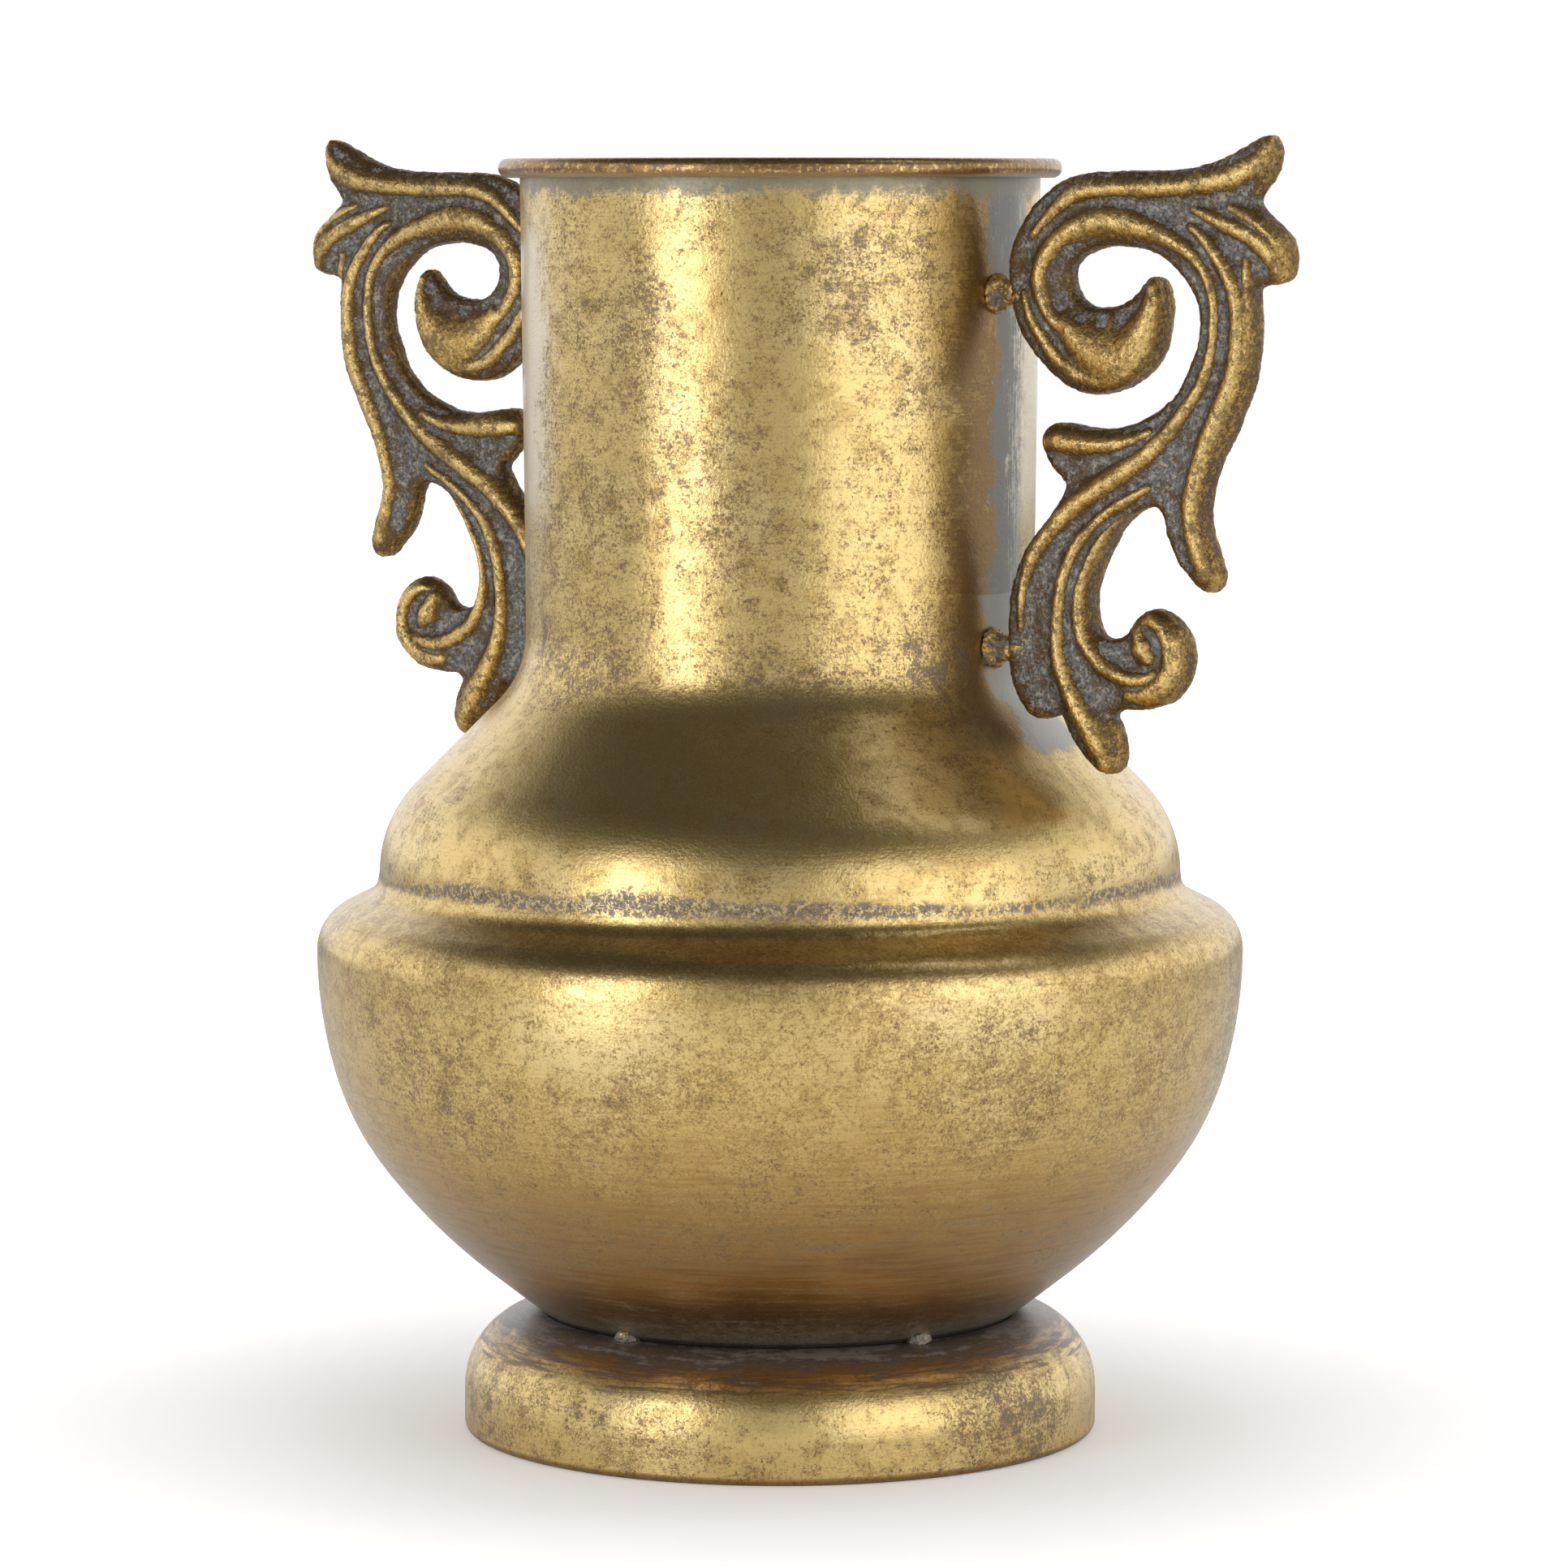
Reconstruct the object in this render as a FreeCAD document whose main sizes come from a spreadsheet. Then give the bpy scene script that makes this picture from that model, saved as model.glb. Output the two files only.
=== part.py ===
"""Urn vase of spun sheet metal with two cast scroll handles, in millimetres.

The vase stands on z = 0 with its axis on Z and its handles along X. The shells are
sheet of one thickness: each is drawn as the line of its outer face, given its
thickness and turned about the axis. The handles are flat castings held off the neck
by round studs, each stud in a weld bead on the shell and in a socket in the handle.
"""
import FreeCAD
import Part
import collections
import math
import os

import Sketcher

Vector = FreeCAD.Vector
AXIS = Vector(0, 0, 1)

SIZES = [
    ("sheet_thickness", 1.0, "wall of the neck, shoulder and bowl"),
    ("neck_height", 101.3, "rim over the seam between the neck and the shoulder"),
    ("neck_top_radius", 61.8, "outer radius of the neck under the rim"),
    ("neck_foot_radius", 60.7, "outer radius of the neck at its lower seam"),
    ("rim_height", 4.5, "height of the rolled rim"),
    ("rim_overhang", 5.1, "rolled rim outside the neck"),
    ("rim_curl_gap", 0.3, "end of the curl to the neck"),
    ("rim_wire_gap", 0.05, "wire to the curl around it"),
    ("collar_length", 11.35, "straight collar of the shoulder, under the neck's seam"),
    ("shoulder_rise", 57.15, "shoulder from the belt up to its collar"),
    ("belt_rise", 18.0, "belt seam over the widest line"),
    ("belt_inset", 15.0, "belt seam inside the widest line"),
    ("belly_radius", 110.9, "widest outer radius of the bowl"),
    ("belly_height", 116.5, "height of the widest line"),
    ("bowl_bottom_height", 17.0, "underside of the bowl's flat bottom"),
    ("seat_radius", 56.9, "outer radius of the bowl where the foot meets it"),
    ("foot_gap", 0.25, "bowl to the foot's hole"),
    ("foot_height", 28.8, "top of the foot"),
    ("foot_overhang", 19.15, "foot outside the seat"),
    ("foot_thickness", 1.2, "wall of the foot"),
    ("foot_corner_radius", 2.0, "turned-in lower corner of the foot"),
    ("foot_flange_width", 6.0, "flat of the turned-in flange"),
    ("seam_bead_height", 0.6, "weld beads inside the two body seams"),
    ("seam_bead_width", 2.4, "width of those beads"),
    ("seam_bead_gap", 0.05, "those beads to the sheet"),
    ("tack_radius", 2.4, "tack welds between the foot and the bowl"),
    ("tack_rise", 0.5, "centre of a tack above the foot's top"),
    ("tack_outset", 1.2, "centre of a tack outside the seat"),
    ("tack_turn", -92.6, "direction of the first tack, in degrees"),
    ("handle_gap", 4.5, "neck to the handle"),
    ("handle_reach", 75.7, "width of a handle"),
    ("handle_height", 147.0, "height of a handle"),
    ("handle_web_thickness", 8.4, "thickness of the casting between its ridges"),
    ("handle_ridge_thickness", 11.2, "thickness over the ridges of both faces"),
    ("handle_ridge_width", 5.2, "width of a ridge"),
    ("handle_heart_width", 11.0, "width of the swelling that ends the scroll"),
    ("stud_radius", 3.0, "studs that carry the handles"),
    ("stud_depth", 5.5, "stud in its socket in the handle"),
    ("stud_drop", 1.15, "axis of the lower studs under the end of the collar"),
    ("weld_radius", 4.7, "radius of the weld around a stud"),
    ("weld_length", 4.0, "length of that weld along the stud"),
]

# Shares that place things between the sizes above.
SHARES = [
    ("flare_share", 0.4025, "hollow curve under the collar, of the shoulder's rise"),
    ("round_share", 0.525, "round of the shoulder over the belt, of the same"),
    ("step_hollow_share", 0.3333, "hollow of the step under the belt, of the belt's rise"),
    ("step_round_share", 0.6111, "round of the step onto the belly, of the same"),
    ("upper_across_share", 0.928, "bowl's width left at the end of its upper curve"),
    ("upper_height_share", 0.675, "height of that end on the bowl"),
    ("middle_across_share", 0.705, "bowl's width left at the end of its middle curve"),
    ("middle_height_share", 0.4015, "height of that end on the bowl"),
    ("cone_share", 2.08, "slope of the lower bowl over the bowl's mean slope"),
    ("turn_share", 0.7636, "what the curve into the bottom takes of the drop inside the foot"),
    ("foot_dome_share", 0.966, "round of the foot's shoulder, of its overhang"),
    ("stud_upper_share", 0.752, "axis of the upper studs on the handle's height"),
    ("stud_lower_share", 0.1905, "axis of the lower studs on the handle's height"),
]

# Sizes that follow from those.
DERIVED = [
    ("belt_height", "Sizes.belly_height + Sizes.belt_rise", "belt seam"),
    ("shoulder_radius", "Sizes.belly_radius - Sizes.belt_inset", "shoulder at the belt"),
    ("collar_foot_height", "belt_height + Sizes.shoulder_rise", "lower end of the collar"),
    ("flare_radius", "Sizes.flare_share * Sizes.shoulder_rise", "hollow curve under the collar"),
    ("round_radius", "Sizes.round_share * Sizes.shoulder_rise", "round of the shoulder"),
    ("step_hollow_radius", "Sizes.step_hollow_share * Sizes.belt_rise", "hollow of the step"),
    ("step_round_radius", "Sizes.step_round_share * Sizes.belt_rise", "round of the step"),
    ("neck_foot_height", "collar_foot_height + Sizes.collar_length", "seam under the neck"),
    ("rim_top_height", "neck_foot_height + Sizes.neck_height", "top of the rolled rim"),
    ("rim_level", "rim_top_height - Sizes.rim_height / 2", "middle of the rolled rim"),
    ("rim_radius", "Sizes.neck_top_radius + Sizes.rim_overhang", "rolled rim"),
    ("bowl_width", "Sizes.belly_radius - Sizes.seat_radius", "from the seat to the widest line"),
    ("bowl_rise", "Sizes.belly_height - Sizes.foot_height", "from the seat to the widest line"),
    ("upper_radius", "Sizes.seat_radius + Sizes.upper_across_share * bowl_width",
     "end of the bowl's upper curve"),
    ("upper_height", "Sizes.foot_height + Sizes.upper_height_share * bowl_rise",
     "height of that end"),
    ("middle_radius", "Sizes.seat_radius + Sizes.middle_across_share * bowl_width",
     "end of the bowl's middle curve"),
    ("middle_height", "Sizes.foot_height + Sizes.middle_height_share * bowl_rise",
     "height of that end"),
    ("cone_slope", "Sizes.cone_share * bowl_width / bowl_rise", "lower bowl, from the axis"),
    ("turn_radius", "Sizes.turn_share * (Sizes.foot_height - Sizes.bowl_bottom_height)"
                    " / (1 - cone_slope / sqrt(1 + cone_slope ^ 2))", "lower bowl into its bottom"),
    ("foot_radius", "Sizes.seat_radius + Sizes.foot_overhang", "foot"),
    ("foot_dome_radius", "Sizes.foot_dome_share * Sizes.foot_overhang", "round of the foot"),
    ("handle_start", "max(Sizes.neck_top_radius; Sizes.neck_foot_radius) + Sizes.handle_gap",
     "side of a handle towards the neck"),
    ("stud_lower_height", "collar_foot_height - Sizes.stud_drop", "axis of the lower studs"),
    ("handle_foot_height", "stud_lower_height - Sizes.stud_lower_share * Sizes.handle_height",
     "lowest point of a handle"),
    ("stud_upper_height", "handle_foot_height + Sizes.stud_upper_share * Sizes.handle_height",
     "axis of the upper studs"),
    ("neck_lean", "(Sizes.neck_top_radius - Sizes.neck_foot_radius) / (rim_level - neck_foot_height)",
     "how the neck widens"),
    ("neck_bead_radius", "Sizes.neck_foot_radius + min(0; neck_lean) * Sizes.seam_bead_width / 2",
     "sheet over the bead of the neck's seam"),
    ("upper_root_radius", "Sizes.neck_foot_radius + neck_lean * (stud_upper_height - neck_foot_height)",
     "neck at the upper studs"),
    ("lower_root_radius", "Sizes.neck_foot_radius", "collar at the lower studs"),
]

TACK_COUNT = 5
SIDES = [("right", 0.0), ("left", 180.0)]
# Depth of the roots of the studs and welds, as a share of the sheet's thickness.
ROOT_SHARES = {"upper": 0.3, "lower": 0.1}

# Outline of a handle, clockwise from the tip of its top leaf, as shares of the
# handle's width and height. Each run is one smooth curve between two sharp notches.
OUTLINE_SHARES = [
    # right side of the top leaf, down to the notch under it
    [(0.915, 0.9985), (0.935, 0.9850), (0.940, 0.9650), (0.930, 0.9425), (0.900, 0.9175),
     (0.872, 0.8950)],
    # outer leaf
    [(0.872, 0.8950), (0.915, 0.8700), (0.970, 0.8425), (0.998, 0.8050), (0.988, 0.7825),
     (0.950, 0.7700), (0.905, 0.7690), (0.862, 0.7625)],
    # outside of the stem, hanging leaf, hollow of the stem and the small lower curl
    [(0.862, 0.7625), (0.866, 0.7075), (0.864, 0.6575), (0.848, 0.6075), (0.805, 0.5575),
     (0.755, 0.5075), (0.712, 0.4575), (0.697, 0.4075), (0.712, 0.3725), (0.745, 0.3375),
     (0.757, 0.3140), (0.740, 0.2975), (0.712, 0.2945), (0.675, 0.3085), (0.632, 0.3300),
     (0.592, 0.3650), (0.570, 0.4025), (0.552, 0.4190), (0.525, 0.4235), (0.492, 0.4190),
     (0.427, 0.4025), (0.368, 0.3725), (0.318, 0.3250), (0.293, 0.2750), (0.313, 0.2300),
     (0.345, 0.2150), (0.390, 0.2140), (0.430, 0.2230), (0.463, 0.2440), (0.500, 0.2615),
     (0.540, 0.2640), (0.588, 0.2490), (0.623, 0.2260), (0.637, 0.1900), (0.627, 0.1530),
     (0.585, 0.1260), (0.520, 0.1085), (0.455, 0.1045), (0.405, 0.1040), (0.374, 0.0960)],
    # lower leaf
    [(0.374, 0.0960), (0.397, 0.0725), (0.408, 0.0475), (0.409, 0.0225), (0.394, 0.0055),
     (0.362, 0.0000), (0.322, 0.0105), (0.275, 0.0330), (0.230, 0.0690), (0.194, 0.0960)],
    # inner lobe and the side towards the neck
    [(0.194, 0.0960), (0.160, 0.0855), (0.120, 0.0830), (0.078, 0.0940), (0.037, 0.1230),
     (0.012, 0.1625), (0.003, 0.2075), (0.008, 0.2550), (0.028, 0.3050), (0.064, 0.3475),
     (0.125, 0.3860), (0.180, 0.4200), (0.220, 0.4550)],
    # inner leaf, inside of the stem, eye, heart of the scroll and the outer round
    [(0.220, 0.4550), (0.172, 0.4775), (0.137, 0.5000), (0.125, 0.5200), (0.140, 0.5400),
     (0.172, 0.5510), (0.215, 0.5505), (0.270, 0.5450), (0.340, 0.5430), (0.430, 0.5480),
     (0.520, 0.5665), (0.595, 0.5960), (0.645, 0.6325), (0.680, 0.6750), (0.691, 0.7075),
     (0.677, 0.7450), (0.637, 0.7765), (0.575, 0.8050), (0.485, 0.8230), (0.385, 0.8280),
     (0.287, 0.8190), (0.231, 0.8000), (0.215, 0.7775), (0.232, 0.7520), (0.290, 0.7350),
     (0.375, 0.7320), (0.435, 0.7430), (0.480, 0.7640), (0.510, 0.7780), (0.534, 0.7690),
     (0.546, 0.7450), (0.546, 0.7125), (0.534, 0.6750), (0.505, 0.6450), (0.452, 0.6200),
     (0.393, 0.6035), (0.320, 0.5975), (0.245, 0.6035), (0.175, 0.6225), (0.110, 0.6525),
     (0.060, 0.6850), (0.025, 0.7175), (0.005, 0.7540), (0.000, 0.7875), (0.010, 0.8200),
     (0.045, 0.8575), (0.100, 0.8940), (0.170, 0.9225), (0.240, 0.9380), (0.310, 0.9430),
     (0.400, 0.9450), (0.560, 0.9450), (0.680, 0.9520), (0.780, 0.9650), (0.870, 0.9880),
     (0.915, 0.9985)],
]

# Middle lines of the ridges that stand on both faces of a handle, as the same shares.
RIDGE_SHARES = {
    "top": [(0.105, 0.8625), (0.170, 0.8950), (0.240, 0.9110), (0.430, 0.9185), (0.575, 0.9185),
            (0.720, 0.9240), (0.830, 0.9360), (0.895, 0.9600)],
    "scroll": [(0.375, 0.7025), (0.300, 0.6985), (0.215, 0.7150), (0.165, 0.7450), (0.148, 0.7800),
               (0.165, 0.8150), (0.215, 0.8450), (0.315, 0.8660), (0.430, 0.8700), (0.530, 0.8600),
               (0.630, 0.8400), (0.700, 0.8080), (0.738, 0.7600), (0.744, 0.7075), (0.732, 0.6600),
               (0.700, 0.6050), (0.640, 0.5650)],
    "stem": [(0.640, 0.8500), (0.735, 0.8175), (0.800, 0.7830), (0.835, 0.7450), (0.842, 0.7075),
             (0.835, 0.6475), (0.812, 0.6000), (0.770, 0.5575), (0.722, 0.5125), (0.680, 0.4600),
             (0.655, 0.4050), (0.678, 0.3600), (0.722, 0.3250)],
    "outer_leaf": [(0.750, 0.8575), (0.845, 0.8400), (0.940, 0.8150)],
    "branch": [(0.560, 0.5300), (0.480, 0.4900), (0.380, 0.4550), (0.290, 0.4300), (0.200, 0.3975),
               (0.130, 0.3600), (0.090, 0.3200), (0.080, 0.2700), (0.082, 0.2200)],
    "lower_leaf": [(0.480, 0.4475), (0.380, 0.4075), (0.295, 0.3700), (0.235, 0.3350), (0.210, 0.3000),
                   (0.203, 0.2500), (0.205, 0.2000), (0.240, 0.1450), (0.290, 0.1000), (0.350, 0.0525)],
    "small_curl": [(0.345, 0.2000), (0.390, 0.1725), (0.450, 0.1580), (0.520, 0.1600), (0.575, 0.1750),
                   (0.590, 0.2000), (0.565, 0.2250), (0.520, 0.2325)],
    "inner_leaf": [(0.190, 0.5180), (0.290, 0.5130), (0.430, 0.5180), (0.540, 0.5375), (0.620, 0.5650)],
}
HEART_SHARES = [(0.290, 0.6530), (0.370, 0.6550), (0.430, 0.6750), (0.470, 0.7100)]


def make_sheet(doc):
    """Put the driving dimensions in a spreadsheet and return it."""
    sheet = doc.addObject("Spreadsheet::Sheet", "Sizes")
    for row, (alias, value, note) in enumerate(SIZES + SHARES, start=1):
        sheet.set("A%d" % row, alias)
        sheet.set("B%d" % row, str(value))
        sheet.set("C%d" % row, note)
        sheet.setAlias("B%d" % row, alias)
    doc.recompute()
    return sheet


def make_derived(doc):
    """Work out the sizes that follow from the sheet and return them."""
    derived = doc.addObject("App::VarSet", "Derived")
    for name, formula, note in DERIVED:
        derived.addProperty("App::PropertyFloat", name, "Derived", note)
        derived.setExpression(name, formula)
    doc.recompute()
    return derived


def start_profile(doc, name):
    """A sketch in the half plane x > 0, with its own vertical along Z."""
    sketch = doc.addObject("Sketcher::SketchObject", name)
    upright = FreeCAD.Rotation(Vector(1, 0, 0), 90)
    sketch.Placement = FreeCAD.Placement(Vector(0, 0, 0), upright)
    return sketch


def add_line(sketch, start, end):
    return sketch.addGeometry(Part.LineSegment(Vector(*start, 0), Vector(*end, 0)))


def add_arc(sketch, centre, radius, first, last):
    """An arc from one direction to another, in degrees, turning to the left."""
    circle = Part.Circle(Vector(*centre, 0), AXIS, radius)
    return sketch.addGeometry(Part.ArcOfCircle(circle, math.radians(first), math.radians(last)))


def on_circle(centre, radius, angle):
    turn = math.radians(angle)
    return (centre[0] + radius * math.cos(turn), centre[1] + radius * math.sin(turn))


Bend = collections.namedtuple("Bend", "centre radius first last")


def next_arc(start, first, end):
    """The arc down the outside of a bowl that starts at a given lean and meets a point."""
    chord = math.degrees(math.atan2(start[0] - end[0], start[1] - end[1]))
    last = 2 * chord - first
    half_turn = math.radians(last - first) / 2
    radius = math.dist(start, end) / (2 * math.sin(half_turn))
    return Bend(on_circle(start, -radius, -first), radius, first, last)


def join(sketch, first, first_end, second, second_end):
    """Join two pieces of a profile end to end, with one tangent."""
    sketch.addConstraint(Sketcher.Constraint("Tangent", first, first_end, second, second_end))


def hold(sketch, kind, where, expression):
    """Add a dimension and tie it to the sheet. START, END and CENTRE name a point."""
    value = sketch.evalExpression(expression)
    value = getattr(value, "Value", value)
    index = sketch.addConstraint(Sketcher.Constraint(kind, *where, value))
    sketch.setExpression("Constraints[%d]" % index, expression)


START, END, CENTRE = range(1, 4)
ORIGIN = (-1, START)


def hold_point(sketch, piece, end, across, up):
    hold(sketch, "DistanceX", (*ORIGIN, piece, end), across)
    hold(sketch, "DistanceY", (*ORIGIN, piece, end), up)


def spin(doc, name, sketch, thickness):
    """Give a profile its thickness, on the right of its line, and turn it about the axis."""
    band = doc.addObject("Part::Offset2D", name + "_section")
    band.Source = sketch
    band.Mode = "Skin"
    band.Join = "Arc"
    band.Fill = True
    band.setExpression("Value", "-" + thickness)
    return turn_about_axis(doc, name, band)


def turn_about_axis(doc, name, section):
    """The solid that a closed section makes in one turn about the axis."""
    solid = doc.addObject("Part::Revolution", name)
    solid.Source = section
    solid.Axis = AXIS
    solid.Base = Vector(0, 0, 0)
    solid.Angle = 360.0
    solid.Solid = True
    solid.Label = name
    return solid


def make_neck(doc, s, d):
    """Neck tube with its rim rolled outwards, drawn along its inner face and over the bead."""
    inner_top = s.neck_top_radius - s.sheet_thickness
    inner_foot = s.neck_foot_radius - s.sheet_thickness
    bead = s.rim_height / 2
    level = d.rim_level
    sketch = start_profile(doc, "neck_profile")
    wall = add_line(sketch, (inner_foot, d.neck_foot_height), (inner_top, level))
    roll = add_arc(sketch, (inner_top + bead, level), bead, 90, 180)
    top = add_line(sketch, (inner_top + bead, d.rim_top_height), (d.rim_radius - bead, d.rim_top_height))
    curl = add_arc(sketch, (d.rim_radius - bead, level), bead, -90, 90)
    under = add_line(sketch, (d.rim_radius - bead, level - bead),
                     (s.neck_top_radius + s.rim_curl_gap, level - bead))
    join(sketch, wall, END, roll, END)
    join(sketch, roll, START, top, START)
    join(sketch, top, END, curl, END)
    join(sketch, curl, START, under, START)
    sketch.addConstraint(Sketcher.Constraint("Horizontal", top))
    sketch.addConstraint(Sketcher.Constraint("Horizontal", under))
    hold_point(sketch, wall, START, "Sizes.neck_foot_radius - Sizes.sheet_thickness",
               "Derived.neck_foot_height")
    hold(sketch, "DistanceX", (*ORIGIN, wall, END), "Sizes.neck_top_radius - Sizes.sheet_thickness")
    hold(sketch, "Radius", (roll,), "Sizes.rim_height / 2")
    hold(sketch, "DistanceY", (*ORIGIN, top, START), "Derived.rim_top_height")
    hold(sketch, "DistanceX", (*ORIGIN, curl, CENTRE), "Derived.rim_radius - Sizes.rim_height / 2")
    hold(sketch, "Radius", (curl,), "Sizes.rim_height / 2")
    hold(sketch, "DistanceX", (*ORIGIN, under, END), "Sizes.neck_top_radius + Sizes.rim_curl_gap")
    return spin(doc, "neck", sketch, "Sizes.sheet_thickness")


def make_rim_wire(doc):
    """Round wire inside the rolled rim, against the outer turn of the curl."""
    wire = doc.addObject("Part::Torus", "rim_wire")
    wire.setExpression("Radius1", "Derived.rim_radius - Sizes.rim_height / 2")
    wire.setExpression("Radius2", "Sizes.rim_height / 2 - Sizes.sheet_thickness - Sizes.rim_wire_gap")
    wire.setExpression("Placement.Base.z", "Derived.rim_level")
    return wire


def make_shoulder(doc, s, d):
    """Spun shoulder: collar, hollow flare, straight slope and round, down to the belt seam."""
    flare_centre = (s.neck_foot_radius + d.flare_radius, d.collar_foot_height)
    round_centre = (d.shoulder_radius - d.round_radius, d.belt_height)
    across, up = flare_centre[0] - round_centre[0], flare_centre[1] - round_centre[1]
    reach = math.asin((d.flare_radius + d.round_radius) / math.hypot(across, up))
    slope = math.degrees(reach - math.atan2(across, up))
    sketch = start_profile(doc, "shoulder_profile")
    collar = add_line(sketch, (s.neck_foot_radius, d.neck_foot_height),
                      (s.neck_foot_radius, flare_centre[1]))
    flare = add_arc(sketch, flare_centre, d.flare_radius, 180, 180 + slope)
    fall = add_line(sketch, on_circle(flare_centre, d.flare_radius, 180 + slope),
                    on_circle(round_centre, d.round_radius, slope))
    curve = add_arc(sketch, round_centre, d.round_radius, 0, slope)
    join(sketch, collar, END, flare, START)
    join(sketch, flare, END, fall, START)
    join(sketch, fall, END, curve, END)
    sketch.addConstraint(Sketcher.Constraint("Vertical", collar))
    hold_point(sketch, collar, START, "Sizes.neck_foot_radius", "Derived.neck_foot_height")
    hold(sketch, "DistanceY", (*ORIGIN, flare, CENTRE), "Derived.collar_foot_height")
    hold(sketch, "Radius", (flare,), "Derived.flare_radius")
    hold(sketch, "Radius", (curve,), "Derived.round_radius")
    hold_point(sketch, curve, START, "Derived.shoulder_radius", "Derived.belt_height")
    hold(sketch, "DistanceY", (*ORIGIN, curve, CENTRE), "Derived.belt_height")
    return spin(doc, "shoulder", sketch, "Sizes.sheet_thickness")


def make_bowl(doc, s, d):
    """Spun bowl: the step under the belt, the belly, the cone into the foot and a flat bottom."""
    cone = math.degrees(math.atan(d.cone_slope))
    hollow_centre = (d.shoulder_radius + d.step_hollow_radius, d.belt_height)
    round_centre = (s.belly_radius - d.step_round_radius, s.belly_height)
    sketch = start_profile(doc, "bowl_profile")
    hollow = add_arc(sketch, hollow_centre, d.step_hollow_radius, 180, 180 + cone)
    riser = add_line(sketch, on_circle(hollow_centre, d.step_hollow_radius, 180 + cone),
                     on_circle(round_centre, d.step_round_radius, cone))
    belly = add_arc(sketch, round_centre, d.step_round_radius, 0, cone)
    bend = next_arc((s.belly_radius, s.belly_height), 0, (d.upper_radius, d.upper_height))
    upper = add_arc(sketch, bend.centre, bend.radius, -bend.last, -bend.first)
    bend = next_arc((d.upper_radius, d.upper_height), bend.last, (d.middle_radius, d.middle_height))
    middle = add_arc(sketch, bend.centre, bend.radius, -bend.last, -bend.first)
    bend = next_arc((d.middle_radius, d.middle_height), bend.last, (s.seat_radius, s.foot_height))
    lower = add_arc(sketch, bend.centre, bend.radius, -cone, -bend.first)
    lower_end = on_circle(bend.centre, bend.radius, -cone)
    seat = add_line(sketch, lower_end, (s.seat_radius, s.foot_height))
    turn_centre = (s.seat_radius - d.turn_radius * math.cos(math.radians(cone)),
                   s.bowl_bottom_height + d.turn_radius)
    tail = add_line(sketch, (s.seat_radius, s.foot_height), on_circle(turn_centre, d.turn_radius, -cone))
    turn = add_arc(sketch, turn_centre, d.turn_radius, -90, -cone)
    floor = add_line(sketch, (turn_centre[0], s.bowl_bottom_height), (0, s.bowl_bottom_height))
    join(sketch, hollow, END, riser, START)
    join(sketch, riser, END, belly, END)
    join(sketch, belly, START, upper, END)
    join(sketch, upper, START, middle, END)
    join(sketch, middle, START, lower, END)
    join(sketch, lower, START, seat, START)
    join(sketch, seat, END, tail, START)
    join(sketch, tail, END, turn, END)
    join(sketch, turn, START, floor, START)
    sketch.addConstraint(Sketcher.Constraint("Horizontal", floor))
    hold_point(sketch, hollow, START, "Derived.shoulder_radius", "Derived.belt_height")
    hold(sketch, "DistanceY", (*ORIGIN, hollow, CENTRE), "Derived.belt_height")
    hold(sketch, "Radius", (hollow,), "Derived.step_hollow_radius")
    hold(sketch, "Radius", (belly,), "Derived.step_round_radius")
    hold_point(sketch, belly, START, "Sizes.belly_radius", "Sizes.belly_height")
    hold(sketch, "DistanceY", (*ORIGIN, belly, CENTRE), "Sizes.belly_height")
    hold_point(sketch, upper, START, "Derived.upper_radius", "Derived.upper_height")
    hold_point(sketch, middle, START, "Derived.middle_radius", "Derived.middle_height")
    hold_point(sketch, tail, START, "Sizes.seat_radius", "Sizes.foot_height")
    hold(sketch, "Angle", (tail,), "-90 deg - atan(Derived.cone_slope)")
    hold(sketch, "Radius", (turn,), "Derived.turn_radius")
    hold(sketch, "DistanceY", (*ORIGIN, floor, START), "Sizes.bowl_bottom_height")
    hold(sketch, "DistanceX", (*ORIGIN, floor, END), "0 mm")
    return spin(doc, "bowl", sketch, "Sizes.sheet_thickness")


def make_foot(doc, s, d):
    """Spun foot ring: lip around the bowl, round shoulder, straight side and turned-in flange."""
    dome_centre = (d.foot_radius - d.foot_dome_radius, s.foot_height - d.foot_dome_radius)
    corner_centre = (d.foot_radius - s.foot_corner_radius, s.foot_corner_radius)
    sketch = start_profile(doc, "foot_profile")
    lip = add_line(sketch, (s.seat_radius + s.foot_gap, s.foot_height), (dome_centre[0], s.foot_height))
    dome = add_arc(sketch, dome_centre, d.foot_dome_radius, 0, 90)
    side = add_line(sketch, (d.foot_radius, dome_centre[1]), (d.foot_radius, s.foot_corner_radius))
    corner = add_arc(sketch, corner_centre, s.foot_corner_radius, -90, 0)
    flange = add_line(sketch, (corner_centre[0], 0), (corner_centre[0] - s.foot_flange_width, 0))
    join(sketch, lip, END, dome, END)
    join(sketch, dome, START, side, START)
    join(sketch, side, END, corner, END)
    join(sketch, corner, START, flange, START)
    sketch.addConstraint(Sketcher.Constraint("Horizontal", lip))
    sketch.addConstraint(Sketcher.Constraint("Vertical", side))
    sketch.addConstraint(Sketcher.Constraint("Horizontal", flange))
    hold_point(sketch, lip, START, "Sizes.seat_radius + Sizes.foot_gap", "Sizes.foot_height")
    hold(sketch, "Radius", (dome,), "Derived.foot_dome_radius")
    hold(sketch, "DistanceX", (*ORIGIN, side, START), "Derived.foot_radius")
    hold(sketch, "Radius", (corner,), "Sizes.foot_corner_radius")
    hold(sketch, "DistanceY", (*ORIGIN, flange, START), "0 mm")
    hold(sketch, "Distance", (flange,), "Sizes.foot_flange_width")
    return spin(doc, "foot", sketch, "Sizes.foot_thickness")


def cut(doc, name, base, tool):
    """What is left of one piece outside another."""
    result = doc.addObject("Part::Cut", name)
    result.Base = base
    result.Tool = tool
    result.Label = name
    return result


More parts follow.
